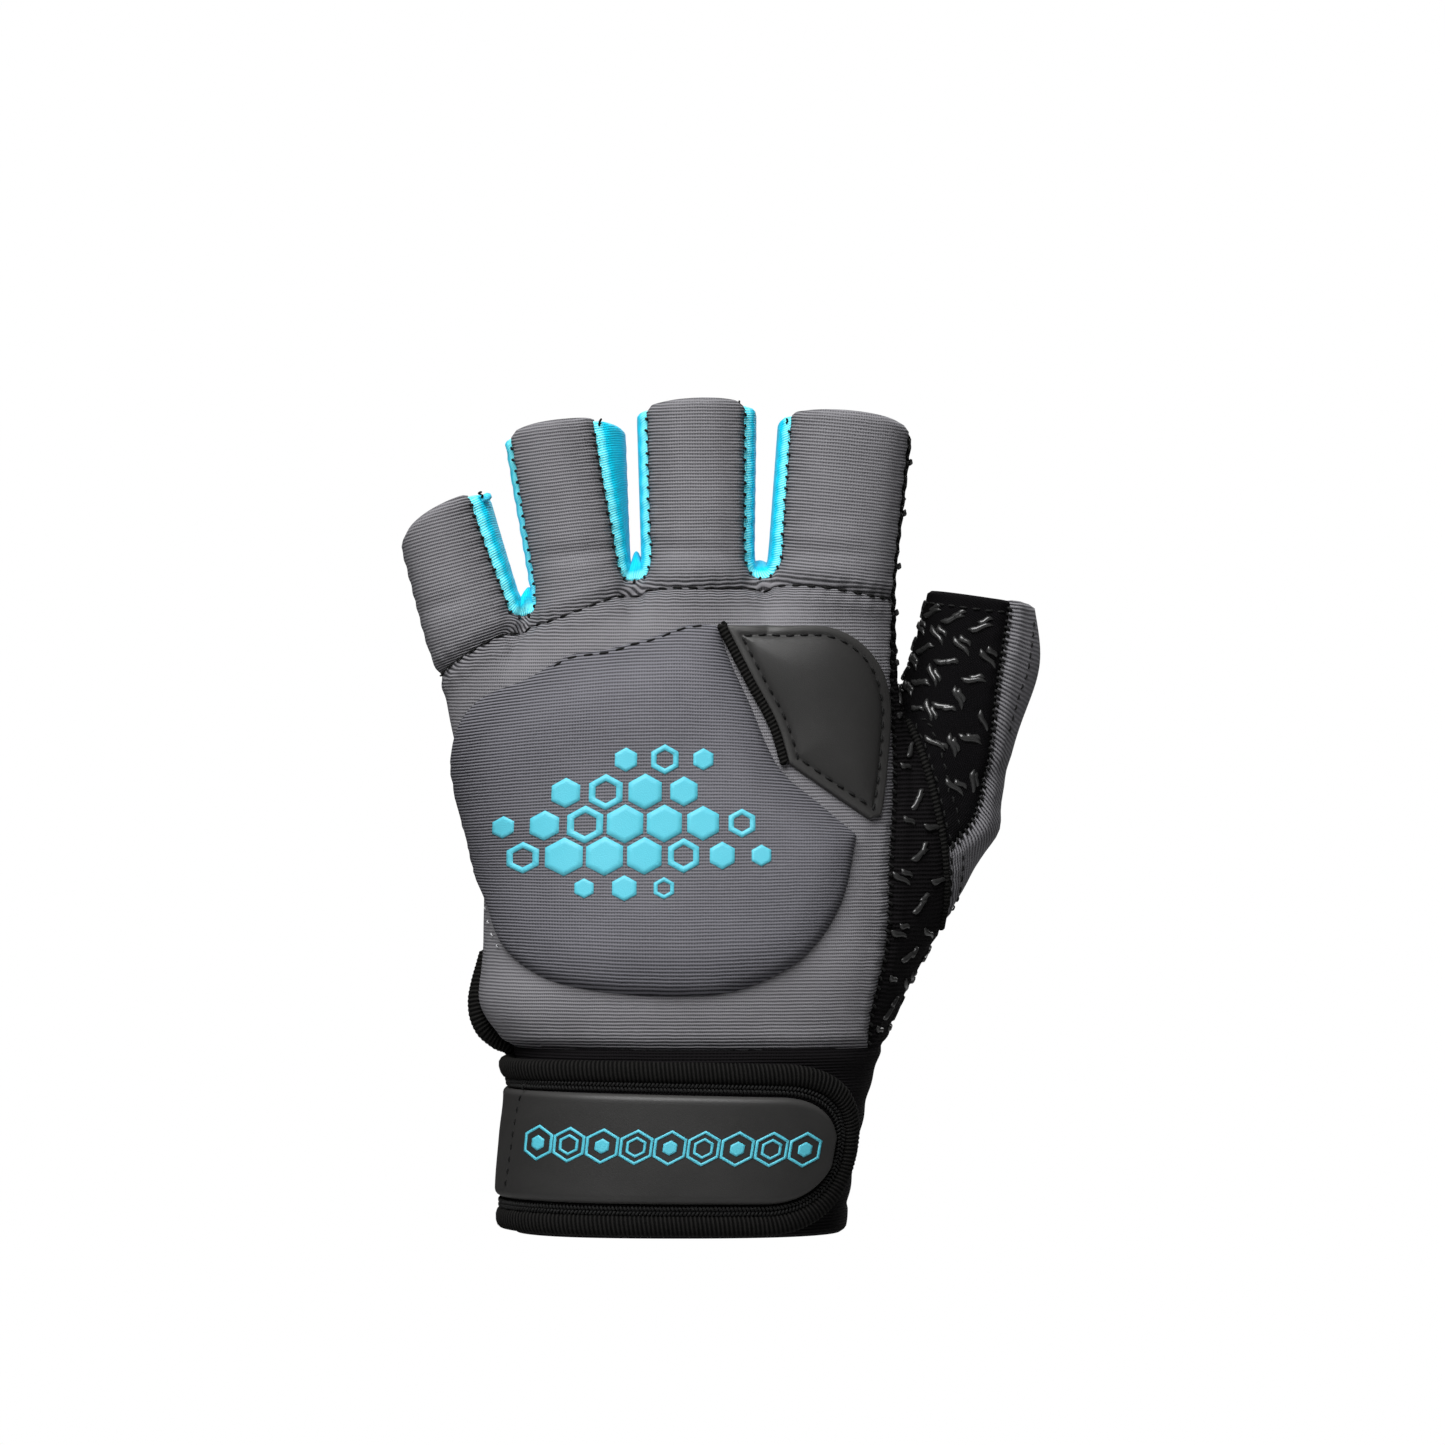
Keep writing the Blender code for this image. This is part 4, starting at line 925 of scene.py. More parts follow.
def segment_distance(points, start, end):
    """How far each point is from a straight line between two ends."""
    run = end - start
    along = np.clip(((points - start) @ run) / (run @ run), 0, 1)
    return np.linalg.norm(points - start - along[:, None] * run, axis=1), along


def hill(distance, width):
    return np.exp(-((distance / width) ** 2))


def cloth_push(points, normals):
    """How far the cloth stands off the smooth form at each point."""
    dip = -SEAM_DIP * hill(SEAM_DISTANCE, SEAM_DIP_REACH)
    puff = PUFF * hill(SEAM_DISTANCE - PUFF_REACH, PUFF_REACH / 2)
    wave = np.cos(SEAM_PLACE * 2 * math.pi / PUCKER_PITCH)
    pucker = PUCKER * wave * hill(SEAM_DISTANCE - PUCKER_REACH / 2, PUCKER_REACH)
    pucker *= np.clip((points[:, 2] - CUFF_HEIGHT) / (7 * MM), 0.15, 1)
    push = dip + puff + pucker
    facing = normals[:, 1] < -0.2
    outer = np.clip(normals[:, 0] * 1.6, 0, 1)
    for table, share in ((DENTS, facing), (THUMB_FOLDS, outer)):
        for x0, z0, x1, z1, depth, width in table:
            ends = np.array([(x0, z0), (x1, z1)]) * (KNUCKLE_BREADTH, HAND_LENGTH)
            ends += (0, CUFF_HEIGHT)
            distance, along = segment_distance(points[:, [0, 2]], ends[0], ends[1])
            fade = np.sin(math.pi * (0.1 + 0.8 * along))
            push -= share * depth * MM * fade * hill(distance, width * MM)
    return push


FORM = POINTS + NORMALS * cloth_push(POINTS, NORMALS)[:, None]
print("cloth pushed out and in, mm:", np.round(np.ptp(cloth_push(POINTS, NORMALS)) / MM, 2))

# %% [markdown]
# Now the form is cut. A panel takes its faces, and its edges draw back a hair from the seam. The
# cloth's thickness goes inwards along the form's shared normals, so the edges of two neighbours stay
# parallel. The rim gets one more row that bulges a little, which rounds the folded edge of a hem.

# %% Walls, and making a piece
FOAM_WALL = 2.0 * MM
KNIT_WALL = 1.4 * MM
STRETCH_WALL = 1.0 * MM
DRAWN_BACK = 0.06 * MM
HEM_ROUND = 0.5


def add_piece(name, points, faces, finish, slot, node=None, places=None):
    """Make a piece from arrays, give it its finish and let it ride on the glove."""
    mesh = bpy.data.meshes.new(name)
    mesh.from_pydata(np.asarray(points).tolist(), [], [list(face) for face in faces])
    if places is not None:
        attribute = mesh.attributes.new("cloth", "FLOAT_VECTOR", "POINT")
        attribute.data.foreach_set("vector", np.asarray(places, np.float32).ravel())
    mesh.shade_smooth()
    mesh.materials.append(finish)
    piece = bpy.data.objects.new(name, mesh)
    bpy.context.scene.collection.objects.link(piece)
    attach(piece, "root")
    if node:
        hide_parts(node)
    return piece

# %% A panel and its rim
def used_once(edges):
    """The numbers of the edges that only one face has."""
    kinds = np.unique(np.sort(edges, axis=1), axis=0, return_index=True, return_counts=True)
    return kinds[1][kinds[2] == 1]


class Panel:
    """One panel's outer surface: its points, normals and places on the cloth."""

    def __init__(self, name):
        self.name = name
        chosen = PANEL_OF == PANELS.index(name)
        corners = CORNERS[chosen]
        used, local = np.unique(corners, return_inverse=True)
        self.faces = local.reshape(-1, 4)
        self.used = used
        self.normals = NORMALS[used]
        self.cloth = np.zeros((len(used), 2))
        self.cloth[self.faces] = CLOTH[chosen]
        points = FORM[used]
        edges = np.stack([self.faces, np.roll(self.faces, -1, axis=1)], axis=2).reshape(-1, 2)
        once = used_once(edges)
        self.rim = edges[once]
        along = unit(points[self.rim[:, 1]] - points[self.rim[:, 0]])
        inward = points[self.faces].mean(axis=1)[once // 4] - points[self.rim[:, 0]]
        inward = unit(inward - along * np.sum(inward * along, axis=1, keepdims=True))
        self.pull = np.zeros_like(points)
        np.add.at(self.pull, self.rim[:, 0], inward)
        np.add.at(self.pull, self.rim[:, 1], inward)
        size = np.linalg.norm(self.pull, axis=1, keepdims=True)
        self.pull = np.divide(self.pull, size, out=np.zeros_like(self.pull), where=size > 0)
        self.points = points + self.pull * DRAWN_BACK
        self.hem = HEM_DISTANCE[used] < 1e-6

    def make(self, wall, finish, slot):
        """The panel as a closed piece of cloth with the wall's thickness."""
        inner = self.points - self.normals * wall
        between = self.points - self.normals * wall / 2
        between -= self.pull * (self.hem * HEM_ROUND * wall)[:, None]
        rim_points, rim_local = np.unique(self.rim, return_inverse=True)
        rim = rim_local.reshape(-1, 2)
        count = len(self.points)
        points = np.concatenate([self.points, inner, between[rim_points]])
        over = np.column_stack([0 * self.hem, self.hem * wall / MM])
        turned = self.cloth + over / 2
        cloth = np.concatenate([self.cloth, self.cloth + over, turned[rim_points]])
        seam = SEAM_DISTANCE[self.used] / MM
        seam = np.concatenate([seam, seam, seam[rim_points]])
        a, b = self.rim[:, 0], self.rim[:, 1]
        c, d = rim[:, 0] + 2 * count, rim[:, 1] + 2 * count
        faces = np.concatenate([
            self.faces,
            self.faces[:, ::-1] + count,
            np.stack([b, a, c, d], axis=1),
            np.stack([d, c, a + count, b + count], axis=1),
        ])
        places = np.column_stack([cloth, seam])
        return add_piece(self.name + "_cloth", points, faces, finish, slot, self.name, places)


PANEL_CUTS = {name: Panel(name) for name in PANELS}
print({name: len(cut.points) for name, cut in PANEL_CUTS.items()})

# %% [markdown]
# The finishes come next. Knit shows at this distance as ribs and crossing threads, so the colour and
# the bump both come from the cloth attribute, which holds places in millimetres along each panel.
# An image of cloth would stretch on the sleeves; waves read from the cloth's own places don't.
# What several cloths share is built once as a node group, and each cloth gives it its own pitch.

# %% Sums, blends and waves in shader nodes
def calc(tree, operation, a, b=0.0):
    return add(tree, "Math", {0: a, 1: b}, operation=operation).outputs[0]


def blend(tree, share, a, b):
    """A colour between a and b."""
    return add(tree, "Mix", {0: share, 6: a, 7: b}, data_type="RGBA").outputs[2]


def make_group(name, inputs, outputs):
    """An empty node group with named sockets."""
    tree = bpy.data.node_groups.new(name, "ShaderNodeTree")
    for label, value in inputs:
        kind = "NodeSocketVector" if value is None else "NodeSocketFloat"
        socket = tree.interface.new_socket(label, in_out="INPUT", socket_type=kind)
        if value is not None:
            socket.default_value = value
    for label in outputs:
        tree.interface.new_socket(label, in_out="OUTPUT", socket_type="NodeSocketFloat")
    return tree, tree.nodes.new("NodeGroupInput").outputs, tree.nodes.new("NodeGroupOutput").inputs


def wave(tree, place, pitch):
    """A smooth wave from 0 to 1 with the given pitch."""
    turn = calc(tree, "MULTIPLY", calc(tree, "DIVIDE", place, pitch), 2 * math.pi)
    halves = {0: calc(tree, "COSINE", turn), 1: 0.5, 2: 0.5}
    return add(tree, "Math", halves, operation="MULTIPLY_ADD").outputs[0]


# %% A group for ribs and crossing threads
def ribs_group():
    inputs = (
        ("Cloth", None), ("Rib Pitch", 0.82), ("Thread Pitch", 0.6), ("Slant", 0.0), ("Wobble", 0.25)
    )
    tree, given, out = make_group("knit ribs", inputs, ("Rib", "Thread", "Height"))
    place = add(tree, "SeparateXYZ", {0: given["Cloth"]})
    noise = add(tree, "TexNoise", {"Vector": given["Cloth"], "Scale": 0.16, "Detail": 2.0})
    drift = calc(tree, "MULTIPLY", calc(tree, "SUBTRACT", noise.outputs[0], 0.5), given["Wobble"])
    lean = calc(tree, "MULTIPLY", place.outputs[0], given["Slant"])
    up = calc(tree, "ADD", calc(tree, "ADD", place.outputs[1], lean), drift)
    rib = wave(tree, up, given["Rib Pitch"])
    across = calc(tree, "ADD", place.outputs[0], drift)
    thread = wave(tree, across, given["Thread Pitch"])
    gap = calc(tree, "MULTIPLY", calc(tree, "SUBTRACT", 1.0, rib), thread)
    height = calc(tree, "ADD", rib, calc(tree, "MULTIPLY", gap, 0.45))
    for name, value in (("Rib", rib), ("Thread", thread), ("Height", height)):
        tree.links.new(value, out[name])
    return tree


RIBS = ribs_group()

# %% [markdown]
# No cloth is one even colour. Broad patches are a little lighter or darker where it has been handled,
# and fine fuzz breaks up each thread. Both come from one group, used by every finish.

# %% A group for handling and fuzz
def tone_group():
    inputs = (("Cloth", None), ("Patch Size", 18.0), ("Fuzz Size", 0.25))
    tree, given, out = make_group("handling and fuzz", inputs, ("Tone", "Fuzz"))
    scale = calc(tree, "DIVIDE", 1.0, given["Patch Size"])
    broad = add(tree, "TexNoise", {"Vector": given["Cloth"], "Scale": scale, "Detail": 3.0})
    fine = calc(tree, "DIVIDE", 1.0, given["Fuzz Size"])
    fuzz = add(tree, "TexNoise", {"Vector": given["Cloth"], "Scale": fine, "Detail": 2.0})
    tree.links.new(broad.outputs[0], out["Tone"])
    tree.links.new(fuzz.outputs[0], out["Fuzz"])
    return tree


TONE = tone_group()


# %% [markdown]
# Every finish starts alike: a Principled shader with a few plain numbers, and the place on the cloth.
# Threads have no cloth of their own and read the place in space instead. A small class holds that
# start, and the lines that every finish ends with: a colour between dark and light, and a bump.

# %% The start and the end of a finish
class Finish:
    """A material under construction: its tree, its shader and its places in mm."""

    def __init__(self, name, roughness, gloss=0.14, sheen=None, on_cloth=True):
        self.material = bpy.data.materials.new(name)
        self.material.use_nodes = True
        self.tree = self.material.node_tree
        self.shader = self.tree.nodes["Principled BSDF"]
        inputs = {"Roughness": roughness, "Specular IOR Level": gloss}
        if sheen:
            inputs.update(zip(("Sheen Weight", "Sheen Roughness", "Sheen Tint"), sheen))
        set_inputs(self.tree, self.shader, inputs)
        if on_cloth:
            self.cloth = add(self.tree, "Attribute", attribute_name="cloth").outputs["Vector"]
        else:
            scaled = {0: add(self.tree, "TexCoord").outputs["Object"], 1: (1000, 1000, 1000)}
            self.cloth = add(self.tree, "VectorMath", scaled, operation="MULTIPLY").outputs[0]
        self.across, self.up, self.seam = add(self.tree, "SeparateXYZ", {0: self.cloth}).outputs

    def group(self, tree, **values):
        inputs = {name.replace("_", " "): value for name, value in values.items()}
        return add(self.tree, "Group", {"Cloth": self.cloth, **inputs}, node_tree=tree).outputs

    def range(self, value, low, high, to_low=0.0, to_high=1.0):
        inputs = {0: value, 1: low, 2: high, 3: to_low, 4: to_high}
        return add(self.tree, "MapRange", inputs).outputs[0]

    def total(self, first, *others):
        """The sum of some shares, kept between 0 and 1."""
        for other in others:
            first = calc(self.tree, "ADD", first, other)
        first.node.use_clamp = True
        return first

    def done(self, colour, height, depth):
        """Give the shader its colour and its bump, and hand out the material."""
        bump = add(self.tree, "Bump", {"Height": height, "Distance": depth * MM, "Strength": 1.0})
        set_inputs(self.tree, self.shader, {"Base Color": colour, "Normal": bump.outputs[0]})
        return self.material


def two_tone(finish, share, dark, light, height, depth):
    """End a finish with a colour between dark and light."""
    return finish.done(blend(finish.tree, share, (*dark, 1), (*light, 1)), height, depth)


# %% [markdown]
# The grey cloth is a ribbed knit on foam. Where it faces us flat, the gaps between the ribs are
# crossed by light threads and look like rows of small dark squares. Near the seams the crossing
# threads close up and the ribs turn into plain dark lines, partly from the stretched knit and partly
# as painted shade where the cloth turns away from the light. The pad's cover is the same cloth,
# darker as painted shade, and most of all over the little-finger side.

# %% Grey rib knit
def rib_knit(name, dark, light, pitches, depth, open_unshaded_from, painted_shade_across=None, roughness=0.85, **look):
    """A ribbed knit: dark gaps, light ribs and threads that cross the gaps.

    pitches are those of the ribs and the threads. The argument after depth is the distance from a
    seam in mm where the knit lies open and the painted shade near seams ends. The one after that
    gives two places across the cloth in mm: before the first one the colour carries painted shade,
    which fades out by the second.
    """
    finish = Finish(name, roughness, **look)
    tree = finish.tree
    ribs = finish.group(RIBS, Rib_Pitch=pitches[0], Thread_Pitch=pitches[1])
    tone = finish.group(TONE)
    # Darker near seams: partly the closed-up stretched knit, partly painted shade where the cloth turns
    # away from the light.
    open_knit_and_unshaded = finish.range(finish.seam, 0.5, open_unshaded_from, 0.12, 0.85)
    # Painted shade: before the first of the two places across the cloth the colour darkens, fading out
    # by the second.
    if painted_shade_across:
        drawn = finish.range(finish.across, *painted_shade_across, 0.1, 1.0)
        open_knit_and_unshaded = calc(tree, "MULTIPLY", open_knit_and_unshaded, drawn)
    crossing = calc(tree, "MULTIPLY", ribs["Thread"], open_knit_and_unshaded)
    face = calc(tree, "MAXIMUM", finish.range(ribs["Rib"], 0.15, 0.75), crossing)
    face = finish.range(face, 0.0, 1.0, calc(tree, "MULTIPLY", open_knit_and_unshaded, 0.42), 1.0)
    worn = finish.range(tone["Tone"], 0.3, 0.7, -0.10, 0.10)
    fuzz = finish.range(tone["Fuzz"], 0.3, 0.7, -0.10, 0.10)
    height = calc(tree, "ADD", ribs["Height"], calc(tree, "MULTIPLY", tone["Fuzz"], 0.35))
    return two_tone(finish, finish.total(face, worn, fuzz), dark, light, height, depth)


GREY_PITCHES = (0.66, 0.52)
GREY_SHEEN = (0.03, 0.5, (0.75, 0.78, 0.9, 1))
GREY_RIB = rib_knit(
    "grey rib knit", (0.006, 0.0058, 0.0070), (0.212, 0.208, 0.222), GREY_PITCHES, 0.16, 8.0,
    sheen=GREY_SHEEN,
)
# The pad's copy of the grey knit is darker as painted shade, with more painted shade over its
# little-finger side.
PAD_RIB_SHADED = rib_knit(
    "grey rib knit on the pad", (0.007, 0.007, 0.009), (0.166, 0.164, 0.184), GREY_PITCHES, 0.14,
    8.0, (-38.0, -14.0), sheen=GREY_SHEEN,
)

# %% [markdown]
# The black cloths are finer. The palm and the cuff have a narrow rib that runs round the hand; the
# thumb's front is a smooth jersey whose stitches lean. They share the rib group with other pitches.

# %% Black knits
BLACKS = (0.0006, 0.0005, 0.0006), (0.0070, 0.0062, 0.0070)
DULL = 0.08
PALM_KNIT = rib_knit(
    "black palm knit", *BLACKS, (0.86, 0.50), 0.22, 6.0, roughness=0.9, gloss=DULL
)
CUFF_KNIT = rib_knit(
    "black cuff knit", *BLACKS, (0.62, 0.45), 0.18, 6.0, roughness=0.9, gloss=DULL
)


def jersey():
    """A fine knit whose stitches lean along the cloth."""
    finish = Finish("black jersey", 0.9, DULL)
    ribs = finish.group(RIBS, Rib_Pitch=0.5, Thread_Pitch=0.42, Slant=0.35, Wobble=0.5)
    fuzz = finish.group(TONE, Patch_Size=9.0)["Fuzz"]
    stitch = calc(finish.tree, "MULTIPLY", ribs["Rib"], ribs["Thread"])
    share = finish.total(stitch, finish.range(fuzz, 0.3, 0.8, -0.2, 0.3))
    height = calc(finish.tree, "ADD", stitch, fuzz)
    return two_tone(
        finish, share, (0.0007, 0.0006, 0.0008), (0.0085, 0.0075, 0.0090), height, 0.11
    )


BLACK_KNIT = jersey()

# %% [markdown]
# The turquoise gussets are a bright stretch knit. Along each seam the cloth is rolled over and looks
# paler and ribbed; towards the middle it is smooth and deeper in colour.

# %% Turquoise stretch knit
def stretch_knit():
    finish = Finish("turquoise stretch knit", 0.55, sheen=(0.2, 0.4, (0.6, 0.95, 1.0, 1)))
    tree = finish.tree
    ribs = finish.group(RIBS, Rib_Pitch=0.46, Thread_Pitch=0.35, Slant=0.25, Wobble=0.4)
    tone = finish.group(TONE, Patch_Size=6.0)
    edge = finish.range(finish.seam, 1.1, 1.9, 1.0, 0.0)
    deep = blend(tree, ribs["Rib"], (0.0, 0.46, 0.68, 1), (0.0, 0.70, 0.95, 1))
    pale = blend(tree, ribs["Rib"], (0.03, 0.68, 0.90, 1), (0.34, 1.0, 1.0, 1))
    tint = blend(tree, edge, deep, pale)
    shade = finish.range(tone["Tone"], 0.3, 0.7, 0.0, 0.10)
    colour = blend(tree, shade, tint, (0.0, 0.25, 0.45, 1))
    return finish.done(colour, calc(tree, "ADD", ribs["Height"], tone["Fuzz"]), 0.09)


TURQUOISE = stretch_knit()

# %% [markdown]
# The patch and the label are coated cloth: smooth, with a very fine grain, and a satin gloss that
# breaks up slightly. The edges are rubbed a little paler. The prints are a thin film of the same
# kind, and the grip marks are a glossier rubber.

# %% Coated cloth, print and grip
def coated(name, dark, light, roughness, edge_width, grain, gloss=0.4):
    """A coated surface, rubbed paler along its edge and with a gloss that breaks up."""
    finish = Finish(name, roughness, gloss)
    tone = finish.group(TONE, Patch_Size=14.0, Fuzz_Size=0.22)
    rubbed = finish.range(finish.seam, 0.0, edge_width, 0.8, 0.0)
    worn = finish.range(tone["Tone"], 0.35, 0.65, 0.0, 0.25)
    flecks = finish.range(tone["Fuzz"], 0.62, 0.75, 0.0, 0.25)
    rough = finish.range(tone["Fuzz"], 0.3, 0.7, roughness - 0.06, roughness + 0.08)
    finish.tree.links.new(rough, finish.shader.inputs["Roughness"])
    return two_tone(finish, finish.total(rubbed, worn, flecks), dark, light, tone["Fuzz"], grain)


COATED = coated("coated cloth", (0.0215, 0.021, 0.0205), (0.044, 0.043, 0.042), 0.48, 1.4, 0.03)
PRINT = coated("turquoise print", (0.09, 0.52, 0.65), (0.15, 0.59, 0.72), 0.5, 0.2, 0.05)
GRIP = coated("grip mark", (0.010, 0.010, 0.010), (0.024, 0.024, 0.024), 0.27, 0.15, 0.03, 0.6)

# %% [markdown]
# The bindings are a woven tape whose ribs run across it and lean a little, with darker gaps between
# them. The thread is a dull, slightly fuzzy yarn in three colours.

# %% Tape and thread
TAPE_PITCH_MM = 0.82
TAPE_LEAN = 0.14


def ribbed_tape():
    """Binding tape: the gaps between its cross ribs are darker."""
    finish = Finish("black tape", 0.85, DULL)
    tree = finish.tree
    lean = calc(tree, "MULTIPLY", finish.up, TAPE_LEAN)
    rib = wave(tree, calc(tree, "ADD", finish.across, lean), TAPE_PITCH_MM)
    fuzz = finish.group(TONE, Patch_Size=5.0, Fuzz_Size=0.2)["Fuzz"]
    share = finish.total(finish.range(rib, 0.2, 0.8), finish.range(fuzz, 0.3, 0.7, -0.2, 0.2))
    height = calc(tree, "ADD", rib, fuzz)
    return two_tone(
        finish, share, (0.0010, 0.0010, 0.0009), (0.0125, 0.0120, 0.0115), height, 0.16
    )


def thread(name, dark, light):
    finish = Finish(name, 0.6, sheen=(0.06, 0.4, (0.8, 0.8, 0.8, 1)), on_cloth=False)
    fuzz = finish.group(TONE, Patch_Size=3.0, Fuzz_Size=0.18)["Fuzz"]
    return two_tone(finish, finish.range(fuzz, 0.35, 0.65), dark, light, fuzz, 0.06)


TAPE = ribbed_tape()
THREAD = thread("black thread", (0.004, 0.004, 0.004), (0.012, 0.012, 0.012))
TURQUOISE_THREAD = thread("turquoise thread", (0.02, 0.48, 0.72), (0.12, 0.68, 0.90))
PALE_THREAD = thread("pale thread", (0.45, 0.46, 0.48), (0.70, 0.70, 0.72))
print("finishes:", len(bpy.data.materials), "groups:", [group.name for group in bpy.data.node_groups])

# %% [markdown]
# Now the panels are made. The grey ones are laminated on foam and have the thickest wall, the black
# palm is a plain knit, and the gussets are thin so that they can stretch.

# %% The sewn panels
WALLS = {
    "finger_panel": (FOAM_WALL, GREY_RIB, "grey_rib_knit"),
    "hand_back": (FOAM_WALL, GREY_RIB, "grey_rib_knit"),
    "palm": (KNIT_WALL, PALM_KNIT, "black_knit"),
    "gusset_little_ring": (STRETCH_WALL, TURQUOISE, "turquoise_stretch"),
    "gusset_ring_middle": (STRETCH_WALL, TURQUOISE, "turquoise_stretch"),
    "gusset_middle_index": (STRETCH_WALL, TURQUOISE, "turquoise_stretch"),
    "thumb_front": (KNIT_WALL, BLACK_KNIT, "black_knit"),
    "thumb_back": (FOAM_WALL, GREY_RIB, "grey_rib_knit"),
}
for name, (wall, finish, slot) in WALLS.items():
    PANEL_CUTS[name].make(wall, finish, slot)

# %% [markdown]
# The pad, the patch, the strap and the bindings lie on the form. To set them down quickly, the back
# of the hand and the cuff are each kept as a fine grid of points, a sheet. A place between the grid's
# lines is read off by blending its four neighbours, for thousands of points at once.

# %% Sheets that other pieces lie on
class Sheet:
    """A smooth surface kept as a grid of points, read at any place across and up it."""

    def __init__(self, surface, across, up):
        self.across = np.array(across)
        self.up = np.array(up)
        self.points = np.array([[surface(a, b) for a in across] for b in up])
        self.normals = unit(
            np.cross(np.gradient(self.points, axis=1), np.gradient(self.points, axis=0))
        )

    def at(self, a, b):
        """The points and outward normals at arrays of places."""
        i = np.interp(a, self.across, np.arange(len(self.across)))
        j = np.interp(b, self.up, np.arange(len(self.up)))
        i0 = np.minimum(i.astype(int), len(self.across) - 2)
        j0 = np.minimum(j.astype(int), len(self.up) - 2)
        s = (i - i0)[..., None]
        t = (j - j0)[..., None]
        out = []
        for grid in (self.points, self.normals):
            low = grid[j0, i0] * (1 - s) + grid[j0, i0 + 1] * s
            high = grid[j0 + 1, i0] * (1 - s) + grid[j0 + 1, i0 + 1] * s
            out.append(low * (1 - t) + high * t)
        return out[0], unit(out[1])


BACK = Sheet(
    BACK_SIDE.point,
    np.linspace(0, 1, 121),
    np.linspace(CUFF_HEIGHT, CUFF_HEIGHT + HAND_LENGTH, 61),
)
CUFF = Sheet(
    lambda a, z: cuff_point(-a, z), np.linspace(-380, 20, 201), np.linspace(0, CUFF_HEIGHT, 31)
)


def unrolled(row):
    """x for each point of a row; past the left end it goes on by length round the side."""
    end = int(np.argmin(row[:, 0]))
    gaps = np.linalg.norm(np.diff(row[: end + 1], axis=0), axis=1)
    round_side = np.concatenate([np.cumsum(gaps[::-1])[::-1], [0]])
    x = row[:, 0].copy()
    x[: end + 1] = row[end, 0] - round_side
    return np.maximum.accumulate(x + np.arange(len(x)) * 1e-9)


BACK_UNROLLED = np.array([unrolled(row) for row in BACK.points])


def back_at(x, z):
    """Points and normals on the back of the hand, for arrays of x and height above the cuff."""
    x = np.asarray(x, float)
    up = np.interp(np.asarray(z) + CUFF_HEIGHT, BACK.up, np.arange(len(BACK.up)))
    share = np.empty_like(x)
    for i in np.ndindex(x.shape):
        row = min(int(up[i]), len(BACK.up) - 2)
        low = np.interp(x[i], BACK_UNROLLED[row], BACK.across)
        high = np.interp(x[i], BACK_UNROLLED[row + 1], BACK.across)
        share[i] = low + (high - low) * (up[i] - row)
    return BACK.at(share, np.asarray(z) + CUFF_HEIGHT)


def cuff_at(degrees, z):
    """Points and normals on the cuff, for arrays of angle and height."""
    return CUFF.at(-np.asarray(degrees, float), np.asarray(z, float))


print("sheets:", BACK.points.shape, CUFF.points.shape)

# %% [markdown]
# Most of what follows is placed along lines. A line is a row of points with the surface's normals,
# and it is read at even steps of its own length.

# %% Lines
def read_along(wanted, have, values):
    """Values that are known at some places along a line, read at other places."""
    return np.column_stack([np.interp(wanted, have, values[:, k]) for k in range(values.shape[1])])


def smooth_outline(points, count):
    """Even points on a smooth closed curve; a point given twice makes a corner."""
    points = [np.array(point, float) for point in points]
    curve = []
    number = len(points)
    for i in range(number):
        p0, p1, p2, p3 = (points[(i + k - 1) % number] for k in range(4))
        if np.allclose(p1, p2):
            continue
        bend = 2 * p0 - 5 * p1 + 4 * p2 - p3
        twist = 3 * p1 - p0 - 3 * p2 + p3
        for t in steps(0, 1, 12)[:-1]:
            curve.append(0.5 * (2 * p1 + (p2 - p0) * t + bend * t * t + twist * t**3))
    curve = np.array(curve + curve[:1])
    lengths = line_places(curve)
    return read_along(lengths[-1] * np.arange(count) / count, lengths, curve)


def smoothed(line, count):
    """Even points on a smooth open curve through the points of a line."""
    have = line_places(line)
    fine = np.linspace(0, have[-1], count)
    return np.column_stack([[smooth_at(have, line[:, k], f) for f in fine] for k in range(3)])


def read_line(points, normals, places):
    """Points, directions and normals at places along a line."""
    have = line_places(points)
    step = 0.3 * MM
    ahead = read_along(places + step, have, points)
    along = unit(ahead - read_along(places - step, have, points))
    normal = read_along(places, have, normals)
    normal = unit(normal - along * np.sum(normal * along, axis=1, keepdims=True))
    return read_along(places, have, points), along, normal

# %% [markdown]
# Nearly every piece is a grid of points, flat, closed round as a tube, or two grids back to back. Three
# functions write their faces, so that all of them look outwards.

# %% Faces of grids and tubes
def grid_faces(rows, columns, closed=False, base=0, flip=False):
    """The quads of a grid of points, closed round its columns if asked."""
    faces = []
    for r in range(rows - 1):
        for c in range(columns if closed else columns - 1):
            a = base + r * columns + c
            b = base + r * columns + (c + 1) % columns
            quad = (a, b, b + columns, a + columns)
            faces.append(quad[::-1] if flip else quad)
    return faces


def tube_faces(rings, sides):
    """The quads of a tube of rings, with its two ends closed."""
    last = (rings - 1) * sides
    ends = [tuple(reversed(range(sides))), tuple(range(last, last + sides))]
    return grid_faces(rings, sides, closed=True) + ends


def two_sided(front, back, closed=False, flip=True):
    """Two grids of points, one behind the other, joined round their rims: points and faces."""
    rows, columns = front.shape[:2]
    count = rows * columns
    faces = grid_faces(rows, columns, closed, 0, flip)
    faces += grid_faces(rows, columns, closed, count, not flip)
    number = np.arange(count).reshape(rows, columns)
    rims = [number[0], number[-1, ::-1]]
    if closed:
        rims = [np.append(rim, rim[0]) for rim in rims]
    else:
        rims += [number[::-1, 0], number[:, -1]]
    for rim in rims:
        for a, b in zip(rim[:-1].tolist(), rim[1:].tolist()):
            quad = (a, b, b + count, a + count)
            faces.append(quad if flip else quad[::-1])
    return np.concatenate([front.reshape(-1, 3), back.reshape(-1, 3)]), faces


def join(*shapes):
    """Join shapes given as points and faces."""
    points = []
    faces = []
    base = 0
    for some_points, some_faces in shapes:
        points.append(some_points)
        faces.extend(tuple(i + base for i in face) for face in some_faces)
        base += len(some_points)
    return np.concatenate(points), faces

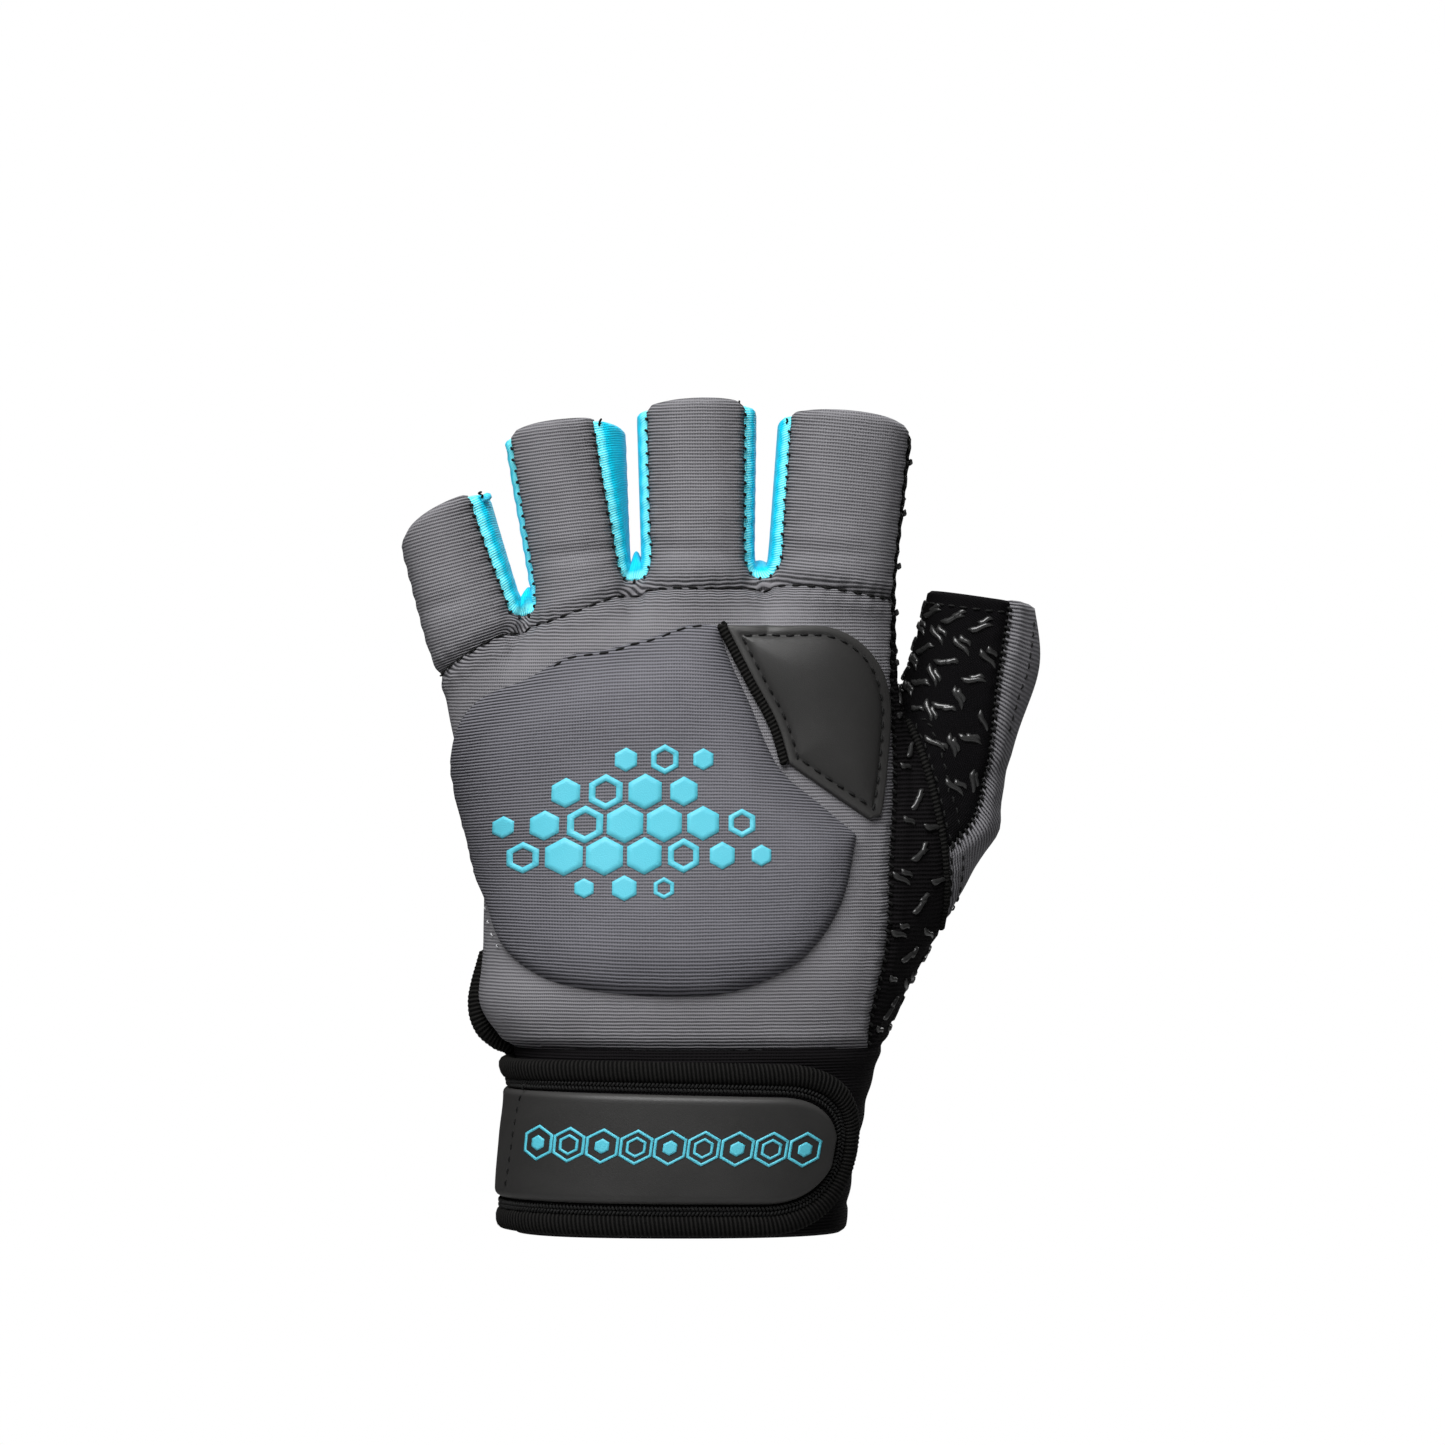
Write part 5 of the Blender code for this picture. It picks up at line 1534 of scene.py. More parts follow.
# %% [markdown]
# Thread is the smallest real shape here. A stitch is a short bent capsule whose ends dive into the
# cloth. One template is copied to every stitch along a line as plain arrays, and all the stitches of
# a line become one mesh, which is quick even for thousands of them.

# %% Stitches
BODY_RINGS = 7
BODY_SIDES = 6
BODY_FACES = tube_faces(BODY_RINGS, BODY_SIDES)


def bent_body(length, shape):
    """The rings of a small long body; shape gives a ring's place across and up and its radii."""
    rings = []
    for t in np.linspace(-1, 1, BODY_RINGS):
        across, up, wide, tall = shape(t)
        for k in range(BODY_SIDES):
            a = 2 * math.pi * k / BODY_SIDES
            rings.append((t * length / 2, across + wide * math.cos(a), up + tall * math.sin(a)))
    return np.array(rings)


def copies(template, centre, along, across, up):
    """Copy a template to many places; returns points and faces."""
    points = (
        centre[:, None]
        + along[:, None] * template[None, :, :1]
        + across[:, None] * template[None, :, 1:2]
        + up[:, None] * template[None, :, 2:3]
    )
    count = len(template)
    every = [tuple(i + n * count for i in face) for n in range(len(centre)) for face in BODY_FACES]
    return points.reshape(-1, 3), every


def stitch_line(points, normals, pitch, length, radius, slant=0.0, start=0.5, jitter=0.0):
    """Stitches along a line: points and faces. Their sizes are in mm, their turns in degrees."""
    pitch = pitch * MM
    radius = radius * MM
    places = np.arange(start * pitch, line_places(points)[-1] - pitch * 0.3, pitch)
    centre, along, up = read_line(points, normals, places)
    across = np.cross(up, along)
    shake = np.random.default_rng(len(places)).uniform(-jitter, jitter, len(places))
    turn = np.radians(slant + shake)[:, None]
    leading = along * np.cos(turn) + across * np.sin(turn)

    def ring(t):
        thin = radius * math.sqrt(max(1 - abs(t) ** 6, 0.05))
        return 0, radius * 0.7 * (1 - t * t) - radius * 1.6 * t**4, thin, thin

    return copies(bent_body(length * MM, ring), centre, leading, np.cross(up, leading), up)

# %% [markdown]
# A cord or a tape is a rounded section carried along a line. Its weave stands up as small ribs across
# it, and both of its ends are drawn in, as a cut end is when it is sewn down.

# %% Cords and tapes
def cord(points, normals, half_width, half_height, sides=12, power=2.0, pitch=None, rib=0.0,
         slant=0.0, lift=0.0):
    """A cord or tape along a line, with small ribs across it: points, faces and cloth places."""
    total = line_places(points)[-1]
    step = pitch / 4 if pitch else half_width / 2
    places = np.linspace(0, total, max(int(total / step), 2))
    centre, along, up = read_line(points, normals, places)
    across = np.cross(up, along)
    angles = 2 * math.pi * np.arange(sides) / sides
    c = np.sign(np.cos(angles)) * np.abs(np.cos(angles)) ** (2 / power)
    s = np.sign(np.sin(angles)) * np.abs(np.sin(angles)) ** (2 / power)
    grow = np.zeros((len(places), sides))
    if pitch:
        phase = places[:, None] / pitch + slant * c[None, :]
        grow = rib * (0.5 + 0.5 * np.cos(2 * math.pi * phase))
    end = np.minimum(places, total - places)
    taper = np.sqrt(np.clip(end / (half_height * 0.8), 0.04, 1))[:, None]
    wide = (half_width * taper + grow) * c
    tall = (half_height * taper + grow) * s + lift
    ring = centre[:, None] + across[:, None] * wide[..., None] + up[:, None] * tall[..., None]
    cloth = np.zeros(ring.shape)
    cloth[..., 0] = places[:, None] / MM
    cloth[..., 1] = half_width / MM * c
    return ring.reshape(-1, 3), tube_faces(len(places), sides), cloth.reshape(-1, 3)

# %% [markdown]
# The shell pad is a thick foam plate under the same ribbed knit, sewn down round its edge. Its top
# is a fine net of points inside the outline. Even rows follow the edge, where the height changes
# fast, and a plain grid fills the rest. The height rises as a quarter round at the edge and then
# swells gently to the middle. The swell reads a smooth distance from the whole outline, summed like
# a magnet's pull, because the plain distance to the nearest edge would leave ridges.

# %% Inside an outline
def outline_distance(flat, rim):
    """How far places are inside an outline: the true distance and a smooth one without ridges."""
    true = np.full(len(flat), 1.0)
    pull = np.zeros(len(flat))
    for start, end in zip(rim, np.roll(rim, -1, axis=0)):
        gap, _ = segment_distance(flat, start, end)
        true = np.minimum(true, gap)
        pull += np.linalg.norm(end - start) / np.maximum(gap, 0.05 * MM) ** 2
    return true, math.pi / pull


def inset_line(rim, inset):
    """The outline moved inwards, without the loops that its corners would make."""
    run = np.roll(rim, -1, axis=0) - np.roll(rim, 1, axis=0)
    inward = unit(np.column_stack([-run[:, 1], run[:, 0]]))
    after = np.roll(rim, -1, axis=0)
    if np.sum(rim[:, 0] * after[:, 1] - after[:, 0] * rim[:, 1]) < 0:
        inward = -inward
    moved = rim + inward * inset
    return moved[outline_distance(moved, rim)[0] > inset * 0.92]


def fill_outline(rim, insets, spacing):
    """Points inside an outline and the triangles between them; the rim's points come first."""
    rows = [rim] + [inset_line(rim, inset) for inset in insets]
    low = rim.min(axis=0)
    high = rim.max(axis=0)
    x, z = np.meshgrid(np.arange(low[0], high[0], spacing), np.arange(low[1], high[1], spacing))
    x[1::2] += spacing / 2
    grid = np.column_stack([x.ravel(), z.ravel()])
    within = np.array([inside_outline(point, rim) for point in grid])
    grid = grid[within]
    grid = grid[outline_distance(grid, rim)[0] > insets[-1] + spacing * 0.6]
    flat = np.concatenate(rows + [grid])
    loop = [list(range(len(rim)))]
    found = delaunay_2d_cdt([tuple(p / MM) for p in flat], [], loop, 1, 0.001)
    places = np.array([tuple(p) for p in found[0]]) * MM
    return places, [tuple(face) for face in found[2]]


def inside_outline(point, rim):
    """True where a ray to the right crosses the outline an odd number of times."""
    a = rim
    b = np.roll(rim, -1, axis=0)
    over = (a[:, 1] > point[1]) != (b[:, 1] > point[1])
    at = a[over, 0] + (point[1] - a[over, 1]) / (b[over, 1] - a[over, 1]) * (b[over, 0] - a[over, 0])
    return np.count_nonzero(at > point[0]) % 2 == 1
# %% [markdown]
# The pad and the patch are made alike: an outline, a height that depends on how far inside it a place
# is, and a flat underside. The ribs of the cover bow a little, as cloth does over a dome.

# %% Padded pieces
RIB_LEVEL = 0.45
RIB_SWING = 2.6
UNDER_LAY = 0.5 * MM


class Laid:
    """A padded piece on the back of the hand: its outline and the height of its top."""

    def __init__(self, outline, count, height):
        self.rim = smooth_outline(outline, count) * (KNUCKLE_BREADTH, HAND_LENGTH)
        self.height = height
        middle = self.rim.mean(axis=0)[None]
        self.deepest = outline_distance(middle, self.rim)[1][0]

    def top(self, flat, lift=0.0):
        """Points and normals on the top, for places x and z in metres above the cuff."""
        true, soft = outline_distance(flat, self.rim)
        point, normal = back_at(flat[:, 0], flat[:, 1])
        high = self.height(true, np.clip(soft / self.deepest, 0, 1)) + lift
        return point + normal * high[:, None], normal

    def make(self, name, insets, spacing, finish, slot, bow):
        """The piece itself, closed by a flat underside."""
        flat, faces = fill_outline(self.rim, insets, spacing)
        true, _ = outline_distance(flat, self.rim)
        high, normal = self.top(flat)
        low = back_at(flat[:, 0], flat[:, 1])[0] - normal * UNDER_LAY
        number = len(flat)
        corners = np.array(faces)
        a, b, c = (flat[corners[:, k]] for k in range(3))
        area = np.sum((b - a)[:, ::-1] * (c - a) * (-1, 1), axis=1).sum()
        if area < 0:
            corners = corners[:, ::-1]
        faces = corners.tolist() + (corners[:, ::-1] + number).tolist()
        edges = np.concatenate([corners[:, [0, 1]], corners[:, [1, 2]], corners[:, [2, 0]]])
        for i, j in edges[used_once(edges)].tolist():
            faces.append((j, i, i + number, j + number))
        x = flat[:, 0] / MM
        z = flat[:, 1] / MM
        swing = (RIB_LEVEL - z / (HAND_LENGTH / MM)) * RIB_SWING
        places = np.column_stack([x, z + CUFF_HEIGHT / MM - bow * swing * x * x, true / MM])
        points = np.concatenate([high, low])
        return add_piece(name + "_cover", points, faces, finish, slot, name, np.tile(places, (2, 1)))


# %% The shell pad
PAD_RIM_ROUND = 2.2 * MM
PAD_RIM_SINK = 0.80 * MM
PAD_RIB_BOW = 0.0026


def pad_height(true, soft):
    """The pad's height above the hand: a rounded rim and a gentle swell."""
    rim = np.sqrt(1 - (1 - np.clip(true / PAD_RIM_ROUND, 0, 1)) ** 2)
    swell = (PAD_HEIGHT - PAD_EDGE) * (1 - (1 - soft) ** 2.4)
    return -PAD_RIM_SINK + (PAD_RIM_SINK + LAY_GAP * 0.4 + PAD_EDGE) * rim + swell


PAD = Laid(PAD_OUTLINE, 300, pad_height)
PAD_INSETS = [share * MM for share in (0.15, 0.4, 0.8, 1.3, 1.9, 2.7)]
shell_pad = PAD.make("shell_pad", PAD_INSETS, 1.1 * MM, PAD_RIB_SHADED, "grey_rib_knit", PAD_RIB_BOW)
print("pad points:", len(shell_pad.data.vertices), "deepest in mm:", round(PAD.deepest / MM, 1))

# %% [markdown]
# The knuckle patch is a coated cloth over a small foam. It is sewn a couple of millimetres inside its
# edge, so the edge lies flat, the stitches sit in a groove, and the middle swells up inside them.

# %% The knuckle patch
PATCH_STITCH_INSET = 2.0 * MM
PATCH_FLAT = 1.3 * MM


def patch_height(true, soft):
    """A flat edge, a groove at the stitches and a swell inside them."""
    rim = np.sqrt(1 - (1 - np.clip(true / (0.4 * MM), 0, 1)) ** 2)
    groove = 0.30 * MM * hill(true - PATCH_STITCH_INSET, 0.4 * MM)
    t = np.clip((true - PATCH_STITCH_INSET) / (7.0 * MM), 0, 1)
    swell = (PATCH_HEIGHT - PATCH_EDGE) * (0.55 * t * (2 - t) + 0.45 * soft)
    return -0.3 * MM + (0.3 * MM + PATCH_FLAT) * rim - groove + swell


PATCH = Laid(PATCH_OUTLINE, 240, patch_height)
PATCH_INSETS = [share * MM for share in (0.12, 0.35, 0.7, 1.1, 1.5, 1.8, 2.0, 2.2, 2.6, 3.2)]
knuckle_patch = PATCH.make("knuckle_patch", PATCH_INSETS, 0.9 * MM, COATED, "coated_patch", 0.0)
print("patch points:", len(knuckle_patch.data.vertices))

# %% [markdown]
# The wrist closes with a strap that wraps round the cuff: a knit body, a smooth coated label on it,
# and a ribbed tape bound over both long edges and round the end. Everything on the strap is placed by
# its length along the strap and its height, so that the rounded end keeps an even margin.

# %% Places along the strap
STRAP_ANGLE_STEPS = np.linspace(STRAP_START, STRAP_END, 240)
STRAP_ARCS = line_places(cuff_at(STRAP_ANGLE_STEPS, np.full(240, STRAP_END_MIDDLE))[0])
STRAP_LENGTH = STRAP_ARCS[-1]
LABEL_FROM = float(np.interp(-LABEL_START, -STRAP_ANGLE_STEPS, STRAP_ARCS))


def strap_half(s):
    """Half the strap's width at arc length s, and the height of its middle."""
    along = s / STRAP_LENGTH
    width = STRAP_START_WIDTH + (STRAP_END_WIDTH - STRAP_START_WIDTH) * along
    middle = STRAP_START_MIDDLE + (STRAP_END_MIDDLE - STRAP_START_MIDDLE) * along
    return width / 2, middle


def strap_at(s, z):
    """Points and normals over the cuff, for arrays of length along the strap and height."""
    return cuff_at(np.interp(s, STRAP_ARCS, STRAP_ANGLE_STEPS), z)


def strap_loop(margin, start, count):
    """A line along the strap at an even margin from its edge: up along it, round the end and back."""
    reach = STRAP_END_ROUND - margin
    straight = STRAP_LENGTH - margin - reach
    run = np.linspace(start, straight, count)
    turn = np.radians(np.linspace(90, -90, count // 2)[1:-1])
    side = np.sign(np.sin(turn)) * np.abs(np.sin(turn)) ** (2 / END_POWER)
    s = np.concatenate([run, straight + reach * np.abs(np.cos(turn)) ** (2 / END_POWER), run[::-1]])
    share = np.concatenate([np.ones(count), side, -np.ones(count)])
    half, middle = strap_half(s)
    return s, middle + (half - margin) * share


def band(name, start, margin, out, thick, finish, slot, node, rim_round):
    """A flat band on the strap with a rounded end and rolled edges."""
    columns = 150
    rows = 26
    reach = STRAP_END_ROUND - margin
    length = STRAP_LENGTH - margin
    straight = length - reach
    bend = np.radians(np.linspace(0, 89, 40))
    s = np.concatenate([np.linspace(start, straight, columns)[:-1], straight + reach * np.sin(bend)])
    share = np.clip((s - straight) / reach, 0, 1)
    half, middle = strap_half(s)
    tall = (half - margin) * (1 - share**END_POWER) ** (1 / END_POWER)
    across = np.sin(np.linspace(-math.pi / 2, math.pi / 2, rows + 1))
    grid_s = np.repeat(s[:, None], rows + 1, axis=1)
    grid_z = middle[:, None] + tall[:, None] * across
    point, normal = strap_at(grid_s, grid_z)
    edge = np.minimum(tall[:, None] * (1 - np.abs(across)), (length - s)[:, None])
    edge = np.minimum(edge, (s - start)[:, None])
    roll = np.sqrt(1 - (1 - np.clip(edge / rim_round, 0, 1)) ** 2)
    high = point + normal * (out + thick * roll)[..., None]
    low = point + normal * (out - 0.35 * MM)
    cloth = np.stack([grid_s / MM, grid_z / MM, edge / MM], axis=-1)
    points, faces = two_sided(high, low)
    return add_piece(name, points, faces, finish, slot, node, np.tile(cloth.reshape(-1, 3), (2, 1)))


# %% The strap, its label and its binding
BODY_MARGIN = TAPE_WIDTH * 0.8
LABEL_EDGE = TAPE_WIDTH + LABEL_GAP + LABEL_MARGIN
band(
    "strap_body", 0.0, BODY_MARGIN, STRAP_CLEARANCE + STRAP_THICK, 0.0, CUFF_KNIT, "black_knit",
    "strap", 1.0 * MM,
)
band(
    "strap_label_face", LABEL_FROM, LABEL_EDGE, STRAP_CLEARANCE + STRAP_THICK,
    LABEL_GAP + LABEL_THICK, COATED, "coated_patch", "strap_label", 1.3 * MM,
)
TAPE_RIB_PITCH = TAPE_PITCH_MM * MM
TAPE_RIB = 0.16 * MM
s, z = strap_loop(TAPE_WIDTH / 2, 0.0, 120)
loop_points, loop_normals = strap_at(s, z)
points, faces, cloth = cord(
    loop_points, loop_normals, TAPE_WIDTH / 2 - TAPE_RIB, TAPE_THICK / 2 - TAPE_RIB, sides=14,
    power=2.4, pitch=TAPE_RIB_PITCH, rib=TAPE_RIB, slant=0.35,
    lift=STRAP_CLEARANCE + TAPE_THICK / 2,
)
add_piece("strap_tape", points, faces, TAPE, "black_tape", "strap_binding", cloth)

# %% [markdown]
# Inside the tape runs a thick double row of overlock thread, like a flat rope. Each row is a line of
# slanted stitches, and the two rows lean towards each other.

# %% The overlock rope beside the tape
# Sizes in mm
ROPE_PITCH = 0.78
ROPE_LENGTH = 1.25
ROPE_THREAD = 0.26
ROPE_ROWS = ((0.25, 58), (1.15, -58))
shapes = []
for inside, slant in ROPE_ROWS:
    s, z = strap_loop(TAPE_WIDTH + inside * MM, 0.0, 120)
    line, normals = strap_at(s, z)
    line = line + normals * (STRAP_CLEARANCE + STRAP_THICK + 0.25 * MM)
    shapes.append(stitch_line(line, normals, ROPE_PITCH, ROPE_LENGTH, ROPE_THREAD, slant))
add_piece("strap_rope", *join(*shapes), THREAD, "black_tape")

# %% [markdown]
# The cuff is a black rib tube. Its hem is turned up and sewn, so the lowest few millimetres are
# thicker, with a small step above them.

# %% The cuff
CUFF_ROUND = 220
CUFF_UP = 70
HEM_HEIGHT = 5.0 * MM
HEM_STEP = 0.5 * MM
CUFF_WAVE = 0.16 * MM
angles = np.linspace(0, 360, CUFF_ROUND, endpoint=False)
levels = np.linspace(0, CUFF_HEIGHT + 0.4 * MM, CUFF_UP)
grid_angle, grid_z = np.meshgrid(angles, levels)
point, normal = cuff_at(grid_angle, np.minimum(grid_z, CUFF_HEIGHT))
point[..., 2] = grid_z
normal[..., 2] = 0
normal = unit(normal)
hem = HEM_STEP / (1 + np.exp((grid_z - HEM_HEIGHT) / (0.25 * MM)))
wave = CUFF_WAVE * np.sin(grid_z / MM * 0.9 + 1.5 * np.sin(np.radians(grid_angle * 3)))
mouth = np.sqrt(np.clip(grid_z / (1.0 * MM), 0.0, 1))
dip = 0.5 * MM * hill(grid_z - CUFF_HEIGHT, 1.0 * MM)
outer = point + normal * (hem + wave - dip - (1 - mouth) * 0.9 * MM)[..., None]
inner = point - normal * CUFF_CLOTH
girth = line_places(cuff_at(np.linspace(0, 360, 100), np.full(100, 0.018))[0])[-1] / MM
cloth = np.stack([grid_angle / 360 * girth, grid_z / MM, 0 * grid_z + 9], axis=-1).reshape(-1, 3)
points, faces = two_sided(outer, inner, closed=True)
add_piece("cuff_knit", points, faces, CUFF_KNIT, "black_knit", "cuff", np.tile(cloth, (2, 1)))
print("cuff girth in mm:", round(girth, 1))

# %% [markdown]
# Stitches, cords and marks have to sit on the finished surface, with its dips and puckers. A tree of
# the form's faces answers two questions quickly: what lies under a place seen from the back of the
# hand, and which point of the surface is nearest. Lines on the glove are given by x and height in
# shares, like the outlines.

# %% Finding places on the finished surface
FORM_TREE = BVHTree.FromPolygons(FORM.tolist(), CORNERS.tolist())


def on_form(places, count=None):
    """Points and normals on the form under a line of x and height shares, seen from the back."""
    line = np.array(places, float) * (KNUCKLE_BREADTH, HAND_LENGTH) + (0, CUFF_HEIGHT)
    have = line_places(line)
    wanted = np.linspace(0, have[-1], count or max(int(have[-1] / (0.8 * MM)), 2))
    points = []
    normals = []
    for place in wanted:
        x = np.interp(place, have, line[:, 0])
        z = np.interp(place, have, line[:, 1])
        hit, normal, _, _ = FORM_TREE.ray_cast(Vector((x, -0.2, z)), Vector((0, 1, 0)))
        if hit is not None:
            points.append(hit[:])
            normals.append(normal[:])
    return np.array(points), np.array(normals)


def snap(points):
    """The nearest points of the form, and its normals there."""
    found = [FORM_TREE.find_nearest(Vector(point))[:2] for point in points]
    return np.array([hit[:] for hit, _ in found]), np.array([normal[:] for _, normal in found])


def chains(edges):
    """Edges joined into lines of points."""
    near = {}
    for a, b in edges.tolist():
        near.setdefault(a, []).append(b)
        near.setdefault(b, []).append(a)
    starts = [p for p in near if len(near[p]) == 1] + list(near)
    seen = set()
    lines = []
    for start in starts:
        if start in seen:
            continue
        line = [start]
        seen.add(start)
        while True:
            ahead = [p for p in near[line[-1]] if p not in seen]
            if not ahead:
                break
            line.append(ahead[0])
            seen.add(ahead[0])
        lines.append(line)
    return lines


def seam_lines(one, other):
    """The seams between two panels, as points and normals."""
    pair = sorted((PANELS.index(one), PANELS.index(other)))
    edges = UNIQUE_EDGES[is_seam & (lowest == pair[0]) & (highest == pair[1])]
    lines = [line for line in chains(edges) if len(line) > 3]
    return [(FORM[line], NORMALS[line]) for line in lines]


def sew(name, shapes, finish, slot, node=None):
    """One piece from all the stitches or cords of a kind."""
    points, faces = join(*[shape[:2] for shape in shapes])
    piece = add_piece(name, points, faces, finish, slot, node)
    print(name, "faces:", len(faces))
    return piece


# %% [markdown]
# Each seam of the real glove is sewn in its own way. The running seam below the knuckles shows short
# dark dashes in a fold. Along the gussets the overlock only pokes out as small black teeth. The side
# of the index finger and the thumb have a thicker, slanted overlock.

# %% Seam stitches
# Stitches by seam: pitch, length and radius in mm, and their slant in degrees
KNUCKLE_STITCH = (3.2, 2.1, 0.19, 0)
TOOTH = (2.3, 1.2, 0.26, 70)
FINGER_OVERLOCK = (1.5, 1.9, 0.32, 58)
HAND_OVERLOCK = (1.9, 1.7, 0.28, 58)
THUMB_OVERLOCK = (1.3, 1.7, 0.28, 64)
TOOTH_ASIDE = 0.45 * MM


def lifted(line, lift):
    """A line moved off the surface by a lift in mm."""
    return line[0] + line[1] * lift * MM, line[1]


def seam_stitches(one, other, stitch, lift, aside=0.0):
    """Stitches along every seam between two panels, moved aside onto the first one."""
    made = []
    cut = PANEL_CUTS[one]
    for line in seam_lines(one, other):
        points, normals = lifted(line, lift)
        gaps = np.linalg.norm(FORM[cut.used][None] - line[0][:, None], axis=2)
        points = points + cut.pull[gaps.argmin(axis=1)] * aside
        made.append(stitch_line(points, normals, *stitch, jitter=8.0))
    return made


knuckle = seam_stitches("finger_panel", "hand_back", KNUCKLE_STITCH, 0.2)
sew("knuckle_stitches", knuckle, THREAD, "grey_rib_knit")
teeth = []
for gusset in PANELS[FIRST_GUSSET:FIRST_GUSSET + 3]:
    for side in ("finger_panel", "palm"):
        teeth += seam_stitches(side, gusset, TOOTH, 0.22, TOOTH_ASIDE)
sew("gusset_stitches", teeth, THREAD, "turquoise_stretch")
overlock = seam_stitches("finger_panel", "palm", FINGER_OVERLOCK, 0.30)
overlock += seam_stitches("hand_back", "palm", HAND_OVERLOCK, 0.25)
overlock += seam_stitches("thumb_front", "thumb_back", THUMB_OVERLOCK, 0.25)
sew("side_stitches", overlock, THREAD, "black_knit")

# %% [markdown]
# The pad shows a line of dark stitches only along its top edge. The patch is sewn all round. On the
# thumb run a hem line, a second fine seam, and two lines beside the piping.

# %% Stitches on the pad, the patch and the thumb
PAD_STITCHES_FROM = -0.25
PAD_STITCHES_TO = 0.105
PAD_STITCHES_ABOVE = 0.80
THUMB_FINE_SEAM = ((0.800, 0.916), (0.793, 0.858), (0.785, 0.802), (0.767, 0.759), (0.743, 0.671))
THUMB_HEM_INSET = 1.9 * MM


def laid_line(laid, inset, lift):
    """A line inside a laid piece's edge, on its top."""
    flat = inset_line(laid.rim, inset)
    flat = np.concatenate([flat, flat[:1]])
    return flat, *laid.top(flat, lift)


flat, points, normals = laid_line(PAD, 0.9 * MM, 0.15 * MM)
across = flat[:, 0] / KNUCKLE_BREADTH
shown = (across > PAD_STITCHES_FROM) & (across < PAD_STITCHES_TO)
shown &= flat[:, 1] > PAD_STITCHES_ABOVE * HAND_LENGTH
order = np.argsort(flat[shown, 0])
pad_top = stitch_line(points[shown][order], normals[shown][order], 3.2, 2.2, 0.22, jitter=6.0)
sew("pad_stitches", [pad_top], THREAD, "grey_rib_knit")
flat, points, normals = laid_line(PATCH, PATCH_STITCH_INSET, 0.10 * MM)
patch_round = stitch_line(points, normals, 2.8, 2.0, 0.24, jitter=4.0)
sew("patch_stitches", [patch_round], THREAD, "coated_patch")

thumb = PANEL_CUTS["thumb_front"]
rim = np.unique(thumb.rim[thumb.hem[thumb.rim].all(axis=1)])
places = thumb.points[rim] + thumb.pull[rim] * THUMB_HEM_INSET
middle = places.mean(axis=0)
spin = np.argsort(np.arctan2(places[:, 1] - middle[1], places[:, 0] - middle[0]))
hem_line = lifted(snap(places[spin]), 0.1)
fine_seam = lifted(on_form(THUMB_FINE_SEAM), 0.02)
thumb_sewing = [
    stitch_line(*hem_line, 2.6, 1.8, 0.2, jitter=5.0),
    stitch_line(*fine_seam, 2.2, 1.5, 0.2),
]
sew("thumb_stitches", thumb_sewing, THREAD, "black_knit")

# %% [markdown]
# Along the patch's left side the knit under it ends in a thick black overlocked edge. It is drawn as
# a ribbed cord just outside the patch's outline, on that side only.

# %% The knit edge beside the patch
KNIT_EDGE_OUT = 0.7 * MM
across = PATCH.rim[:, 0] / KNUCKLE_BREADTH
up = PATCH.rim[:, 1] / HAND_LENGTH
left_side = (across < 0.262) & (up > 0.600) & (across < 0.13 + (0.900 - up) * 0.5)
edge_line = PATCH.rim[left_side]
edge_line = edge_line[np.argsort(-edge_line[:, 1])] - (KNIT_EDGE_OUT, 0)
points, faces, cloth = cord(
    *back_at(edge_line[:, 0], edge_line[:, 1]), 0.9 * MM, 0.75 * MM, sides=10, pitch=0.7 * MM,
    rib=0.10 * MM, slant=0.6, lift=1.1 * MM,
)
add_piece("patch_knit_edge", points, faces, TAPE, "black_tape", None, cloth)

# %% [markdown]
# A cord is sewn into the seam at the foot of the thumb and stands up as a thin black piping. It
# follows the ring where the thumb sleeve leaves the palm. Two lines of stitches run beside it.

# %% Piping
def piping_line(aside, first, last, count):
    """The foot of the thumb's front, moved along the palm by aside."""
    half = THUMB_COLUMNS // 2 + 1
    angles = thumb_angles(0.0)[:half]
    fine = np.linspace(first, last, count)
    ring = np.array([thumb_point(0.0, np.interp(f, np.linspace(0, 1, half), angles)) for f in fine])
    points, normals = snap(ring)
    away = np.cross(normals, unit(np.gradient(ring, axis=0)))
    points, normals = snap(points + away * aside)
    smooth = np.ones(5) / 5
    for k in range(3):
        points[2:-2, k] = np.convolve(points[:, k], smooth, "valid")
        normals[2:-2, k] = np.convolve(normals[:, k], smooth, "valid")
    return points, unit(normals)


PIPING_WIDTH = 0.75 * MM
line = piping_line(0.0, PIPING_FROM, PIPING_TO, 60)
points, faces, cloth = cord(
    *line, PIPING_WIDTH, PIPING_WIDTH, sides=10, pitch=0.6 * MM, rib=0.06 * MM, slant=0.5,
    lift=0.35 * MM,
)
add_piece("piping_cord", points, faces, TAPE, "black_tape", "thumb_piping", cloth)
beside = []
for aside in (2.2 * MM, 4.3 * MM):
    line = piping_line(aside, PIPING_FROM + 0.05, PIPING_TO - 0.05, 60)
    beside.append(stitch_line(*lifted(line, 0.1), 2.4, 1.7, 0.2, jitter=5.0))
sew("piping_stitches", beside, THREAD, "black_knit")

# %% [markdown]
# At the foot of the hand, on the little-finger side, the palm's bound edge shows beyond the puffy
# grey corner. It is a folded tape with a herringbone of ribs.

